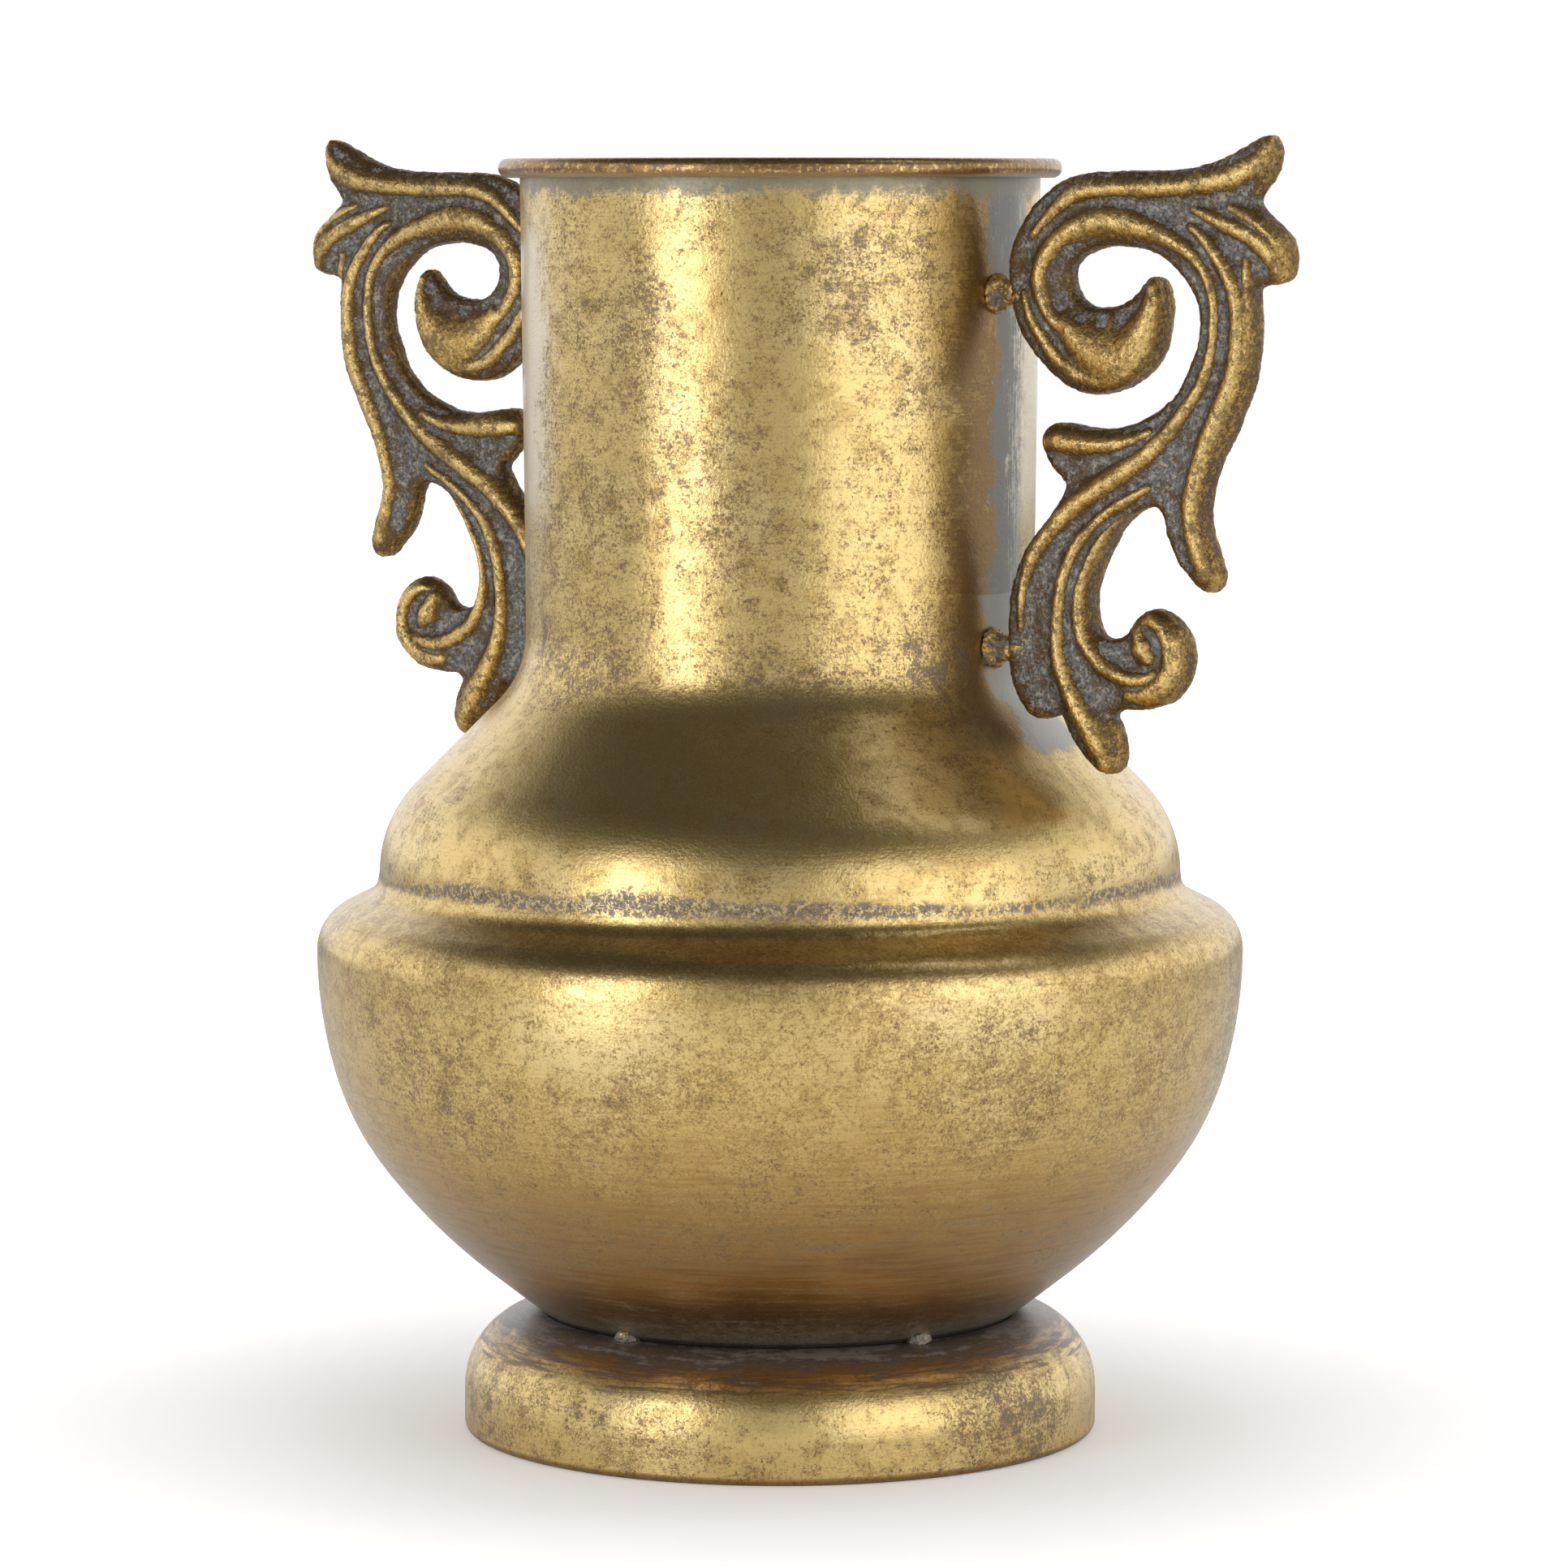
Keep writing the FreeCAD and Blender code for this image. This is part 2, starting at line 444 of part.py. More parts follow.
def make_seam_weld(doc, s, name, radius, height):
    """Flat bead with sloping edges that closes a butt seam of two shells from inside."""
    sketch = start_profile(doc, name + "_profile")
    radius = "%s - Sizes.sheet_thickness - Sizes.seam_bead_gap" % radius
    out, level = sketch.evalExpression(radius), sketch.evalExpression(height)
    deep, half = s.seam_bead_height, s.seam_bead_width / 2
    corners = [(out, level - half), (out, level + half), (out - deep, level + half - deep),
               (out - deep, level - half + deep)]
    sides = [add_line(sketch, corners[i - 1], corners[i]) for i in range(len(corners))]
    for i, side in enumerate(sides):
        sketch.addConstraint(Sketcher.Constraint("Coincident", side, START, sides[i - 1], END))
    reach = "(%s)" % radius
    rise, fall = "%s + Sizes.seam_bead_width / 2" % height, "%s - Sizes.seam_bead_width / 2" % height
    shallow = "%s - Sizes.seam_bead_height" % reach
    hold_point(sketch, sides[0], END, reach, fall)
    hold_point(sketch, sides[1], END, reach, rise)
    hold_point(sketch, sides[2], END, shallow, rise + " - Sizes.seam_bead_height")
    hold_point(sketch, sides[3], END, shallow, fall + " + Sizes.seam_bead_height")
    return turn_about_axis(doc, name, sketch)


def make_tacks(doc):
    """Tack welds around the joint of the foot and the bowl."""
    cone = doc.addObject("Part::Cone", "tack_bowl_side")
    below, above = "2 * Sizes.tack_radius", "4 * Sizes.tack_radius"
    cone.setExpression("Radius1", "Sizes.seat_radius - %s * Derived.cone_slope" % below)
    cone.setExpression("Radius2", "Sizes.seat_radius + %s * Derived.cone_slope" % above)
    cone.setExpression("Height", "%s + %s" % (below, above))
    cone.setExpression("Placement.Base.z", "Sizes.foot_height - " + below)
    disc = doc.addObject("Part::Cylinder", "tack_foot_side")
    disc.setExpression("Radius", "Derived.foot_radius")
    disc.setExpression("Height", "Sizes.foot_height")
    tacks = []
    for number in range(1, TACK_COUNT + 1):
        name = "foot_tack_%d" % number
        drop = doc.addObject("Part::Sphere", name + "_drop")
        drop.setExpression("Radius", "Sizes.tack_radius")
        angle = "(Sizes.tack_turn + %d * 360 / %d) * 1 deg" % (number - 1, TACK_COUNT)
        out = "(Sizes.seat_radius + Sizes.tack_outset)"
        drop.setExpression("Placement.Base.x", "%s * cos(%s)" % (out, angle))
        drop.setExpression("Placement.Base.y", "%s * sin(%s)" % (out, angle))
        drop.setExpression("Placement.Base.z", "Sizes.foot_height + Sizes.tack_rise")
        tacks.append(cut(doc, name, cut(doc, name + "_on_bowl", drop, cone), disc))
    return tacks


def root_of(level):
    return "Derived.%s_root_radius - %g * Sizes.sheet_thickness" % (level, ROOT_SHARES[level])


def lay_out(piece, level, turn):
    """Lay a piece's own Z axis outwards along the handle's line, from inside the sheet."""
    lie_down = FreeCAD.Rotation(Vector(0, 1, 0), 90)
    piece.Placement = FreeCAD.Placement(Vector(0, 0, 0), FreeCAD.Rotation(AXIS, turn).multiply(lie_down))
    reach = "(%s)" % root_of(level)
    piece.setExpression("Placement.Base.x", "%s * cos(%g deg)" % (reach, turn))
    piece.setExpression("Placement.Base.y", "%s * sin(%g deg)" % (reach, turn))
    piece.setExpression("Placement.Base.z", "Derived.stud_%s_height" % level)


def make_stud_and_weld(doc, level, side, turn, shell):
    """One stud from the shell into the handle's socket, and the weld bead around its root."""
    bar = doc.addObject("Part::Cylinder", "stud_bar_%s_%s" % (level, side))
    bar.setExpression("Radius", "Sizes.stud_radius")
    bar.setExpression("Height", "Derived.handle_start + Sizes.stud_depth - (%s)" % root_of(level))
    lay_out(bar, level, turn)
    stud = cut(doc, "stud_%s_%s" % (level, side), bar, shell)
    drop = doc.addObject("Part::Ellipsoid", "weld_drop_%s_%s" % (level, side))
    drop.Angle1 = 0.0
    drop.Angle2 = 90.0
    drop.setExpression("Radius1", "Sizes.weld_length")
    drop.setExpression("Radius2", "Sizes.weld_radius")
    drop.setExpression("Radius3", "Sizes.weld_radius")
    lay_out(drop, level, turn)
    on_shell = cut(doc, "weld_on_shell_%s_%s" % (level, side), drop, shell)
    weld = cut(doc, "weld_%s_%s" % (level, side), on_shell, bar)
    return [stud, weld]


def handle_point(s, d, share):
    across, up = share
    return Vector(d.handle_start + across * s.handle_reach, 0, d.handle_foot_height + up * s.handle_height)


def smooth_edge(points):
    """One smooth curve through a run of points."""
    curve = Part.BSplineCurve()
    curve.interpolate(points)
    return curve.toShape()


def make_web(s, d):
    """The flat casting inside the handle's outline."""
    edges = [smooth_edge([handle_point(s, d, share) for share in run]) for run in OUTLINE_SHARES]
    face = Part.Face(Part.Wire(edges))
    face.translate(Vector(0, -s.handle_web_thickness / 2, 0))
    return face.extrude(Vector(0, s.handle_web_thickness, 0))


def make_ridge(s, d, shares, width):
    """A rounded ridge along a line, showing on both faces of the handle."""
    path = smooth_edge([handle_point(s, d, share) for share in shares])
    first = path.valueAt(path.FirstParameter)
    forward = path.tangentAt(path.FirstParameter)
    across = forward.cross(Vector(0, 1, 0))
    deep = s.handle_ridge_thickness / 2
    wide = width / 2
    if deep > wide:
        ellipse = Part.Ellipse(first + Vector(0, deep, 0), first + across * wide, first)
    else:
        ellipse = Part.Ellipse(first + across * wide, first + Vector(0, deep, 0), first)
    section = Part.Wire(ellipse.toShape())
    return Part.Wire(path).makePipeShell([section], True, False)


def make_handle_casting(s, d):
    """Web, ridges and heart of one handle, with a socket for each stud."""
    pieces = [make_ridge(s, d, shares, s.handle_ridge_width) for shares in RIDGE_SHARES.values()]
    pieces.append(make_ridge(s, d, HEART_SHARES, s.handle_heart_width))
    casting = make_web(s, d).fuse(pieces)
    for height in (d.stud_upper_height, d.stud_lower_height):
        socket = Part.makeCylinder(s.stud_radius, s.handle_gap + s.stud_depth,
                                   Vector(d.handle_start - s.handle_gap, 0, height), Vector(1, 0, 0))
        casting = casting.cut(socket)
    return casting


def make_handles(doc, s, d):
    """The same casting on both sides of the neck."""
    casting = make_handle_casting(s, d)
    handles = []
    for side, turn in SIDES:
        handle = doc.addObject("Part::Feature", "handle_" + side)
        handle.Shape = casting
        handle.Placement = FreeCAD.Placement(Vector(0, 0, 0), FreeCAD.Rotation(AXIS, turn))
        handles.append(handle)
    return handles


def build(doc):
    """Make every sub-part of the vase and return them."""
    s = make_sheet(doc)
    d = make_derived(doc)
    neck = make_neck(doc, s, d)
    shoulder = make_shoulder(doc, s, d)
    bowl = make_bowl(doc, s, d)
    parts = [neck, make_rim_wire(doc), shoulder, bowl, make_foot(doc, s, d)]
    parts.append(make_seam_weld(doc, s, "neck_seam_weld", "Derived.neck_bead_radius",
                                "Derived.neck_foot_height"))
    parts.append(make_seam_weld(doc, s, "belt_seam_weld", "Derived.shoulder_radius",
                                "Derived.belt_height"))
    parts += make_tacks(doc)
    for side, turn in SIDES:
        parts += make_stud_and_weld(doc, "upper", side, turn, neck)
        parts += make_stud_and_weld(doc, "lower", side, turn, shoulder)
    parts += make_handles(doc, s, d)
    return parts


def check(doc, parts):
    """Stop if any object failed or any sub-part is not one sound solid."""
    for item in doc.Objects:
        if "Invalid" in item.State or "Error" in item.State:
            raise RuntimeError("%s failed: %s" % (item.Name, item.State))
    for part in parts:
        shape = part.Shape
        if shape.isNull() or not shape.isValid():
            raise RuntimeError("%s has no sound shape" % part.Label)
        if len(shape.Solids) != 1:
            raise RuntimeError("%s has %d solids" % (part.Label, len(shape.Solids)))
        print("%-20s %10.1f mm3" % (part.Label, shape.Volume))


def main():
    doc = FreeCAD.newDocument("UrnVase")
    parts = build(doc)
    doc.recompute()
    check(doc, parts)
    os.makedirs("parts", exist_ok=True)
    for part in parts:
        part.Shape.exportStep(os.path.join("parts", part.Label + ".step"))


main()
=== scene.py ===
import math

import bmesh
import bpy
from mathutils import Matrix, Vector, kdtree, noise


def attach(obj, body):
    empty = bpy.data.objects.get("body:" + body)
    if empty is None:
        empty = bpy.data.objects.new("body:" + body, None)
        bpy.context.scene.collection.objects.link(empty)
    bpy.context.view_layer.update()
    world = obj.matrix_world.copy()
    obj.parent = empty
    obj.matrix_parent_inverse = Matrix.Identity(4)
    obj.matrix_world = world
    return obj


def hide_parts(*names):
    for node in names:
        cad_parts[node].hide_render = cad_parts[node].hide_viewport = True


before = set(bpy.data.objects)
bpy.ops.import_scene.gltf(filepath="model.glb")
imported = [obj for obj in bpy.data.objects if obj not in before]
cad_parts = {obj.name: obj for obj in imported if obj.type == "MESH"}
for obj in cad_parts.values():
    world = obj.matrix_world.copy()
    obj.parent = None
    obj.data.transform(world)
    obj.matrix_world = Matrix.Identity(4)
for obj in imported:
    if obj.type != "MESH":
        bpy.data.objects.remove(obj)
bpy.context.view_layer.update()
scene = bpy.context.scene

MM = 0.001

# The way from the vase to the camera, level with the table.
TO_CAMERA = (0.579, -0.815, 0.0)
# Brightness of the walls behind the vase and behind the camera, and of the ceiling. White is 1.
BACK_WALL, FRONT_WALL, CEILING = 0.98, 0.42, 0.05
# How far round towards the camera the walls grow dim, and how steeply up the ceiling starts.
WALLS_DIM, CEILING_STARTS = (-0.15, 0.55), (0.42, 0.72)
# The white paper: its radius in metres, its colour, and where in millimetres from the axis its
# glow grows from the first strength to the second.
PAPER_RADIUS, PAPER_COLOUR = 6.0, (0.93, 0.93, 0.93, 1.0)
GLOW_FROM, GLOW_TO, GLOW_NEAR, GLOW_FAR = 90.0, 420.0, 0.26, 0.95

# Heights in millimetres where the neck passes into its rolled rim.
NECK_END, RIM_START = 299.8, 301.0

GOLD = (0.90, 0.66, 0.26)
PALE_GOLD = (0.97, 0.76, 0.36)
CREAM_GOLD_AND_EDGE_REFLECTION = (0.97, 0.86, 0.66)
OLD_GOLD = (0.66, 0.44, 0.14)
OXIDE_GOLD = (0.38, 0.25, 0.095)
DEEP_GOLD = (0.52, 0.325, 0.095)
COPPER_GOLD = (0.39, 0.205, 0.060)
COPPER_BROWN = (0.27, 0.150, 0.060)
RED_BROWN = (0.25, 0.125, 0.045)
BROWN_OXIDE = (0.165, 0.105, 0.055)
DULL_BROWN = (0.16, 0.11, 0.065)
BLACK_OXIDE_AND_GAP_SHADE = (0.040, 0.030, 0.026)
SLATE = (0.20, 0.170, 0.140)
GREEN_SLATE = (0.27, 0.26, 0.19)
DARK_SLATE = (0.125, 0.098, 0.088)
VIOLET_SLATE = (0.30, 0.25, 0.24)
GREY_PRIMER = (0.33, 0.34, 0.31)
PALE_PRIMER = (0.46, 0.46, 0.42)
DARK_PRIMER = (0.21, 0.215, 0.20)
SAGE = (0.225, 0.225, 0.175)
SAND_GREY = (0.20, 0.20, 0.195)
CAST_GOLD = (0.93, 0.66, 0.26)
CAST_OLD_GOLD = (0.52, 0.33, 0.10)
CAST_BROWN = (0.13, 0.080, 0.036)


# Studio

def set_up_camera():
    """The place and lens that lay the vase over its photographed outline."""
    camera = bpy.data.cameras.new("camera")
    camera.sensor_width = 36.0
    camera.lens = 144.8
    camera.shift_x = 0.0027
    camera.clip_start = 0.05
    camera.clip_end = 50.0
    stand = bpy.data.objects.new("camera", camera)
    stand.location = (0.8712, -1.2260, 0.2972)
    stand.rotation_euler = (math.radians(84.609), 0.0, math.radians(35.4))
    scene.collection.objects.link(stand)
    scene.camera = stand


def hang_softbox(name, height, width, radiance):
    """A soft lamp over the vase for the table and the dull paint. It doesn't glint in the metal."""
    lamp = bpy.data.lights.new(name, "AREA")
    lamp.shape = "SQUARE"
    lamp.size = width
    lamp.energy = radiance * math.pi * width * width
    holder = bpy.data.objects.new(name, lamp)
    holder.location = (0.0, 0.0, height)
    holder.visible_glossy = False
    scene.collection.objects.link(holder)


def add_softbox(name, bearing, distance, low, high, width, radiance):
    """A soft lamp that stands upright, faces the vase and reaches from low to high."""
    lamp = bpy.data.lights.new(name, "AREA")
    lamp.shape = "RECTANGLE"
    lamp.size = width
    lamp.size_y = high - low
    lamp.energy = radiance * math.pi * width * (high - low)
    holder = bpy.data.objects.new(name, lamp)
    turn = math.radians(bearing)
    holder.location = (distance * math.cos(turn), distance * math.sin(turn), 0.5 * (low + high))
    holder.rotation_euler = (math.radians(90.0), 0.0, turn + math.radians(90.0))
    scene.collection.objects.link(holder)


def add_strip_light(name, bearing, distance, height, width, length, radiance):
    """A narrow soft lamp high over one side, tipped down at the shoulder of the vase."""
    lamp = bpy.data.lights.new(name, "AREA")
    lamp.shape = "RECTANGLE"
    lamp.size = width
    lamp.size_y = length
    lamp.energy = radiance * math.pi * width * length
    holder = bpy.data.objects.new(name, lamp)
    turn = math.radians(bearing)
    holder.location = (distance * math.cos(turn), distance * math.sin(turn), height)
    aim = Vector((0.0, 0.0, 0.17)) - holder.location
    holder.rotation_euler = aim.to_track_quat("-Z", "Y").to_euler()
    scene.collection.objects.link(holder)


def lay_floor():
    """White paper. It glows for the camera alone, but less near the foot, so that the shadow stays."""
    bm = bmesh.new()
    bmesh.ops.create_circle(bm, cap_ends=True, segments=64, radius=PAPER_RADIUS)
    mesh = bpy.data.meshes.new("floor")
    bm.to_mesh(mesh)
    bm.free()
    floor = bpy.data.objects.new("floor", mesh)
    scene.collection.objects.link(floor)
    paper = Finish("white_paper")
    paper.shader.inputs["Base Color"].default_value = PAPER_COLOUR
    paper.shader.inputs["Roughness"].default_value = 0.9
    paper.shader.inputs["Specular IOR Level"].default_value = 0.1
    seen = paper.node("ShaderNodeLightPath").outputs["Is Camera Ray"]
    glow = paper.times(seen, paper.ease(paper.radius(), GLOW_FROM, GLOW_TO, GLOW_NEAR, GLOW_FAR))
    paper.shader.inputs["Emission Color"].default_value = (1.0, 1.0, 1.0, 1.0)
    paper.join(glow, paper.shader.inputs["Emission Strength"])
    mesh.materials.append(paper.material)


def light_the_room():
    """White walls behind the vase, dimmer ones behind the camera and a dark ceiling."""
    world = bpy.data.worlds.new("studio")
    world.use_nodes = True
    tree = world.node_tree
    scene.world = world
    ground = tree.nodes["Background"]
    towards = tree.nodes.new("ShaderNodeTexCoord").outputs["Generated"]

    def node(kind, **values):
        made = tree.nodes.new(kind)
        for key, value in values.items():
            setattr(made, key, value)
        return made

    split = node("ShaderNodeSeparateXYZ")
    tree.links.new(towards, split.inputs[0])
    ceiling = node("ShaderNodeMapRange", interpolation_type="SMOOTHSTEP")
    tree.links.new(split.outputs["Z"], ceiling.inputs["Value"])
    for socket, value in zip(ceiling.inputs[1:5], CEILING_STARTS + (0.0, 1.0)):
        socket.default_value = value
    front = node("ShaderNodeVectorMath", operation="DOT_PRODUCT")
    tree.links.new(towards, front.inputs[0])
    front.inputs[1].default_value = TO_CAMERA
    behind = node("ShaderNodeMapRange", interpolation_type="SMOOTHSTEP")
    tree.links.new(front.outputs["Value"], behind.inputs["Value"])
    for socket, value in zip(behind.inputs[1:5], WALLS_DIM + (0.0, 1.0)):
        socket.default_value = value
    walls = node("ShaderNodeMapRange")
    tree.links.new(behind.outputs[0], walls.inputs["Value"])
    for socket, value in zip(walls.inputs[1:5], (0.0, 1.0, BACK_WALL, FRONT_WALL)):
        socket.default_value = value
    level = node("ShaderNodeMix")
    tree.links.new(ceiling.outputs[0], level.inputs[0])
    tree.links.new(walls.outputs[0], level.inputs[2])
    level.inputs[3].default_value = CEILING
    path = node("ShaderNodeLightPath")
    strength = node("ShaderNodeMath", operation="MAXIMUM")
    tree.links.new(path.outputs["Is Camera Ray"], strength.inputs[0])
    tree.links.new(level.outputs[0], strength.inputs[1])
    ground.inputs["Color"].default_value = (1.0, 1.0, 1.0, 1.0)
    tree.links.new(strength.outputs[0], ground.inputs["Strength"])


# Finishes

class Finish:
    """One finish, built up in layers from the metal outwards."""

    def __init__(self, name):
        self.material = bpy.data.materials.new(name)
        self.material.use_nodes = True
        self.tree = self.material.node_tree
        self.shader = self.tree.nodes["Principled BSDF"]
        self.place = self.node("ShaderNodeTexCoord").outputs["Object"]
        split = self.node("ShaderNodeSeparateXYZ")
        self.join(self.place, split.inputs[0])
        self.x, self.y, self.z = split.outputs
        self.paint = None
        self.body = None

    def node(self, kind, **values):
        made = self.tree.nodes.new(kind)
        for key, value in values.items():
            setattr(made, key, value)
        return made

    def join(self, source, socket):
        """Links a value to a socket, or writes it there where it is a plain number."""
        if hasattr(source, "links"):
            self.tree.links.new(source, socket)
        else:
            socket.default_value = source

    def sum(self, operation, first, second=0.0, third=0.0, clamp=False):
        made = self.node("ShaderNodeMath", operation=operation, use_clamp=clamp)
        for socket, value in zip(made.inputs, (first, second, third)):
            self.join(value, socket)
        return made.outputs[0]

    def times(self, first, second):
        return self.sum("MULTIPLY", first, second)

    def plus(self, first, second):
        return self.sum("ADD", first, second)

    def height(self):
        """Height over the table in millimetres."""
        return self.times(self.z, 1000.0)

    def bearing(self):
        """Direction round the vase in degrees, from the right handle."""
        return self.times(self.sum("ARCTAN2", self.y, self.x), 57.2958)

    def radius(self):
        """Distance from the axis in millimetres."""
        flat = self.plus(self.times(self.x, self.x), self.times(self.y, self.y))
        return self.times(self.sum("SQRT", flat), 1000.0)

    def ease(self, value, low, high, first=0.0, last=1.0):
        """Goes smoothly from first to last while the value goes from low to high."""
        made = self.node("ShaderNodeMapRange", interpolation_type="SMOOTHSTEP")
        self.join(value, made.inputs["Value"])
        for socket, number in zip(made.inputs[1:5], (low, high, first, last)):
            socket.default_value = number
        return made.outputs[0]

    def band(self, value, low, high, soft):
        """1 between low and high, and 0 outside, with soft edges."""
        return self.times(self.ease(value, low - soft, low + soft),
                          self.ease(value, high - soft, high + soft, 1.0, 0.0))

    def cloud(self, size, detail=4.0, roughness=0.55, stretch=(1.0, 1.0, 1.0), seed=0.0, warp=0.0):
        """Noise with features of a size in millimetres, drawn out by stretch."""
        turn = self.node("ShaderNodeMapping")
        self.join(self.place, turn.inputs["Vector"])
        turn.inputs["Location"].default_value = (seed, seed * 1.7, seed * 2.3)
        turn.inputs["Scale"].default_value = [1000.0 / (size * share) for share in stretch]
        made = self.node("ShaderNodeTexNoise")
        self.join(turn.outputs[0], made.inputs["Vector"])
        made.inputs["Scale"].default_value = 1.0
        made.inputs["Detail"].default_value = detail
        made.inputs["Roughness"].default_value = roughness
        made.inputs["Distortion"].default_value = warp
        return made.outputs["Fac"]

    def inside(self):
        """1 on the faces that look towards the axis."""
        flat = self.node("ShaderNodeVectorMath", operation="MULTIPLY")
        self.join(self.place, flat.inputs[0])
        flat.inputs[1].default_value = (1.0, 1.0, 0.0)
        out = self.node("ShaderNodeVectorMath", operation="NORMALIZE")
        self.join(flat.outputs[0], out.inputs[0])
        facing = self.node("ShaderNodeVectorMath", operation="DOT_PRODUCT")
        self.join(out.outputs[0], facing.inputs[0])
        self.join(self.node("ShaderNodeNewGeometry").outputs["Normal"], facing.inputs[1])
        return self.ease(facing.outputs["Value"], -0.12, -0.04, 1.0, 0.0)

    def blend(self, amount, first, second):
        made = self.node("ShaderNodeMix", data_type="RGBA")
        self.join(amount, made.inputs[0])
        for value, socket in ((first, made.inputs[6]), (second, made.inputs[7])):
            self.join(value if hasattr(value, "links") else tuple(value) + (1.0,), socket)
        return made.outputs[2]

    def lay(self, amount, colour, metallic, roughness):
        """Lays a coat over what is there, as thick as amount says."""
        coat = (metallic, roughness, 0.0)
        if self.paint is None:
            self.paint, self.body = self.blend(amount, colour, colour), self.blend(amount, coat, coat)
        else:
            self.paint = self.blend(amount, self.paint, colour)
            self.body = self.blend(amount, self.body, coat)

    def finish(self, relief, depth, strength=1.0):
        """Joins the coats and the relief, a height in millimetres at depth, to the shader."""
        split = self.node("ShaderNodeSeparateColor")
        self.join(self.body, split.inputs[0])
        metallic, roughness = split.outputs[:2]
        self.join(self.paint, self.shader.inputs["Base Color"])
        self.join(metallic, self.shader.inputs["Metallic"])
        self.join(roughness, self.shader.inputs["Roughness"])
        bump = self.node("ShaderNodeBump")
        bump.inputs["Strength"].default_value = strength
        bump.inputs["Distance"].default_value = depth * MM
        self.join(relief, bump.inputs["Height"])
        self.join(bump.outputs[0], self.shader.inputs["Normal"])
        return self.material


class Gilding(Finish):
    """Gold leaf rubbed thin over dark metal. wear says how much of the gold is gone, by place."""

    def __init__(self, name):
        super().__init__(name)
        self.high = self.height()
        self.way = self.bearing()
        # Bearing from the nearer handle, the same for both.
        self.off_handle = self.plus(self.sum("FLOORED_MODULO", self.plus(self.way, 90.0), 180.0), -90.0)
        self.drift = self.cloud(28.0, 2.0, 0.6, seed=11.0)
        self.clump = self.cloud(6.5, 4.0, 0.68, seed=4.0, warp=0.5)
        self.grit = self.cloud(0.75, 2.0, 0.80, seed=9.0, warp=0.9)
        self.fleck = self.cloud(1.5, 3.0, 0.75, seed=17.0, warp=0.6)
        self.crackle = self.cloud(3.4, 5.0, 0.80, (1.25, 1.25, 0.8), seed=13.0, warp=0.5)
        self.across = self.cloud(1.3, 2.0, 0.6, (9.0, 9.0, 0.45), seed=3.0)
        self.wear = self.stirred(0.0, (self.drift, 0.7), (self.clump, 1.0))

    def swing(self, cloud, amount):
        """A cloud turned into plus and minus that amount, about."""
        return self.times(self.plus(cloud, -0.5), amount * 4.0)

    def stirred(self, value, *clouds):
        """A value made uneven by clouds, each with the amount that it adds and takes away."""
        for cloud, amount in clouds:
            value = self.plus(value, self.swing(cloud, amount))
        return value

    def worn(self, amount):
        """Takes more gold off, or less where the amount is under zero."""
        self.wear = self.plus(self.wear, amount)

    def near(self, bearing, height, wide, tall):
        """1 at a place on the wall, and 0 from as far off as wide and tall say."""
        turn = self.times(self.plus(self.way, -bearing), 1.0 / wide)
        rise = self.times(self.plus(self.high, -height), 1.0 / tall)
        return self.ease(self.plus(self.times(turn, turn), self.times(rise, rise)), 0.0, 1.0, 1.0, 0.0)

    def patch(self, bearing, height, wide, tall, amount):
        """A worn patch, or with an amount under zero a sound one."""
        self.worn(self.times(self.near(bearing, height, wide, tall), amount))

    def ragged_height(self, amount):
        """Height over the table, uneven by an amount in millimetres, for torn edges."""
        return self.stirred(self.high, (self.clump, amount), (self.grit, 0.4 * amount))

    def gild(self):
        """The gold itself, warmer where it is thin."""
        self.lay(0.0, GOLD, 1.0, 0.29)
        self.lay(self.times(self.ease(self.drift, 0.50, 0.62), 0.5), PALE_GOLD, 1.0, 0.29)
        self.lay(self.times(self.ease(self.clump, 0.46, 0.66), 0.75), OLD_GOLD, 1.0, 0.36)
        self.lay(self.times(self.ease(self.across, 0.52, 0.68), 0.2), OLD_GOLD, 1.0, 0.38)

    def speckle(self, amount=1.0, slate_amount=1.0):
        """The dark crackle and the grey flecks where the leaf has come off."""
        thin = self.stirred(self.times(self.wear, 0.45),
                            (self.grit, 1.05), (self.crackle, 0.55), (self.across, 0.15))
        self.lay(self.times(self.ease(thin, -0.30, 0.30), 0.60 * amount), OXIDE_GOLD, 0.95, 0.36)
        self.lay(self.times(self.ease(thin, 0.26, 0.62), 0.74 * amount), BROWN_OXIDE, 0.75, 0.42)
        bare = self.stirred(self.times(self.wear, 0.5), (self.fleck, 0.55), (self.crackle, 0.55))
        self.lay(self.times(self.ease(bare, 0.55, 0.80), 0.50 * slate_amount), SLATE, 0.5, 0.48)

    def close(self, depth):
        """A thin lacquer, the plain dark inside and the fine relief of the sheet, in millimetres."""
        self.shader.inputs["Coat Weight"].default_value = 0.55
        self.shader.inputs["Coat Roughness"].default_value = 0.22
        self.lay(self.times(self.inside(), 0.9), DULL_BROWN, 0.6, 0.5)
        lumps = self.cloud(0.8, 2.0, 0.7, seed=21.0)
        waves = self.times(self.cloud(13.0, 2.0, 0.5, seed=24.0), 2.6)
        return self.finish(self.plus(self.plus(lumps, waves), self.times(self.across, 0.25)), depth)


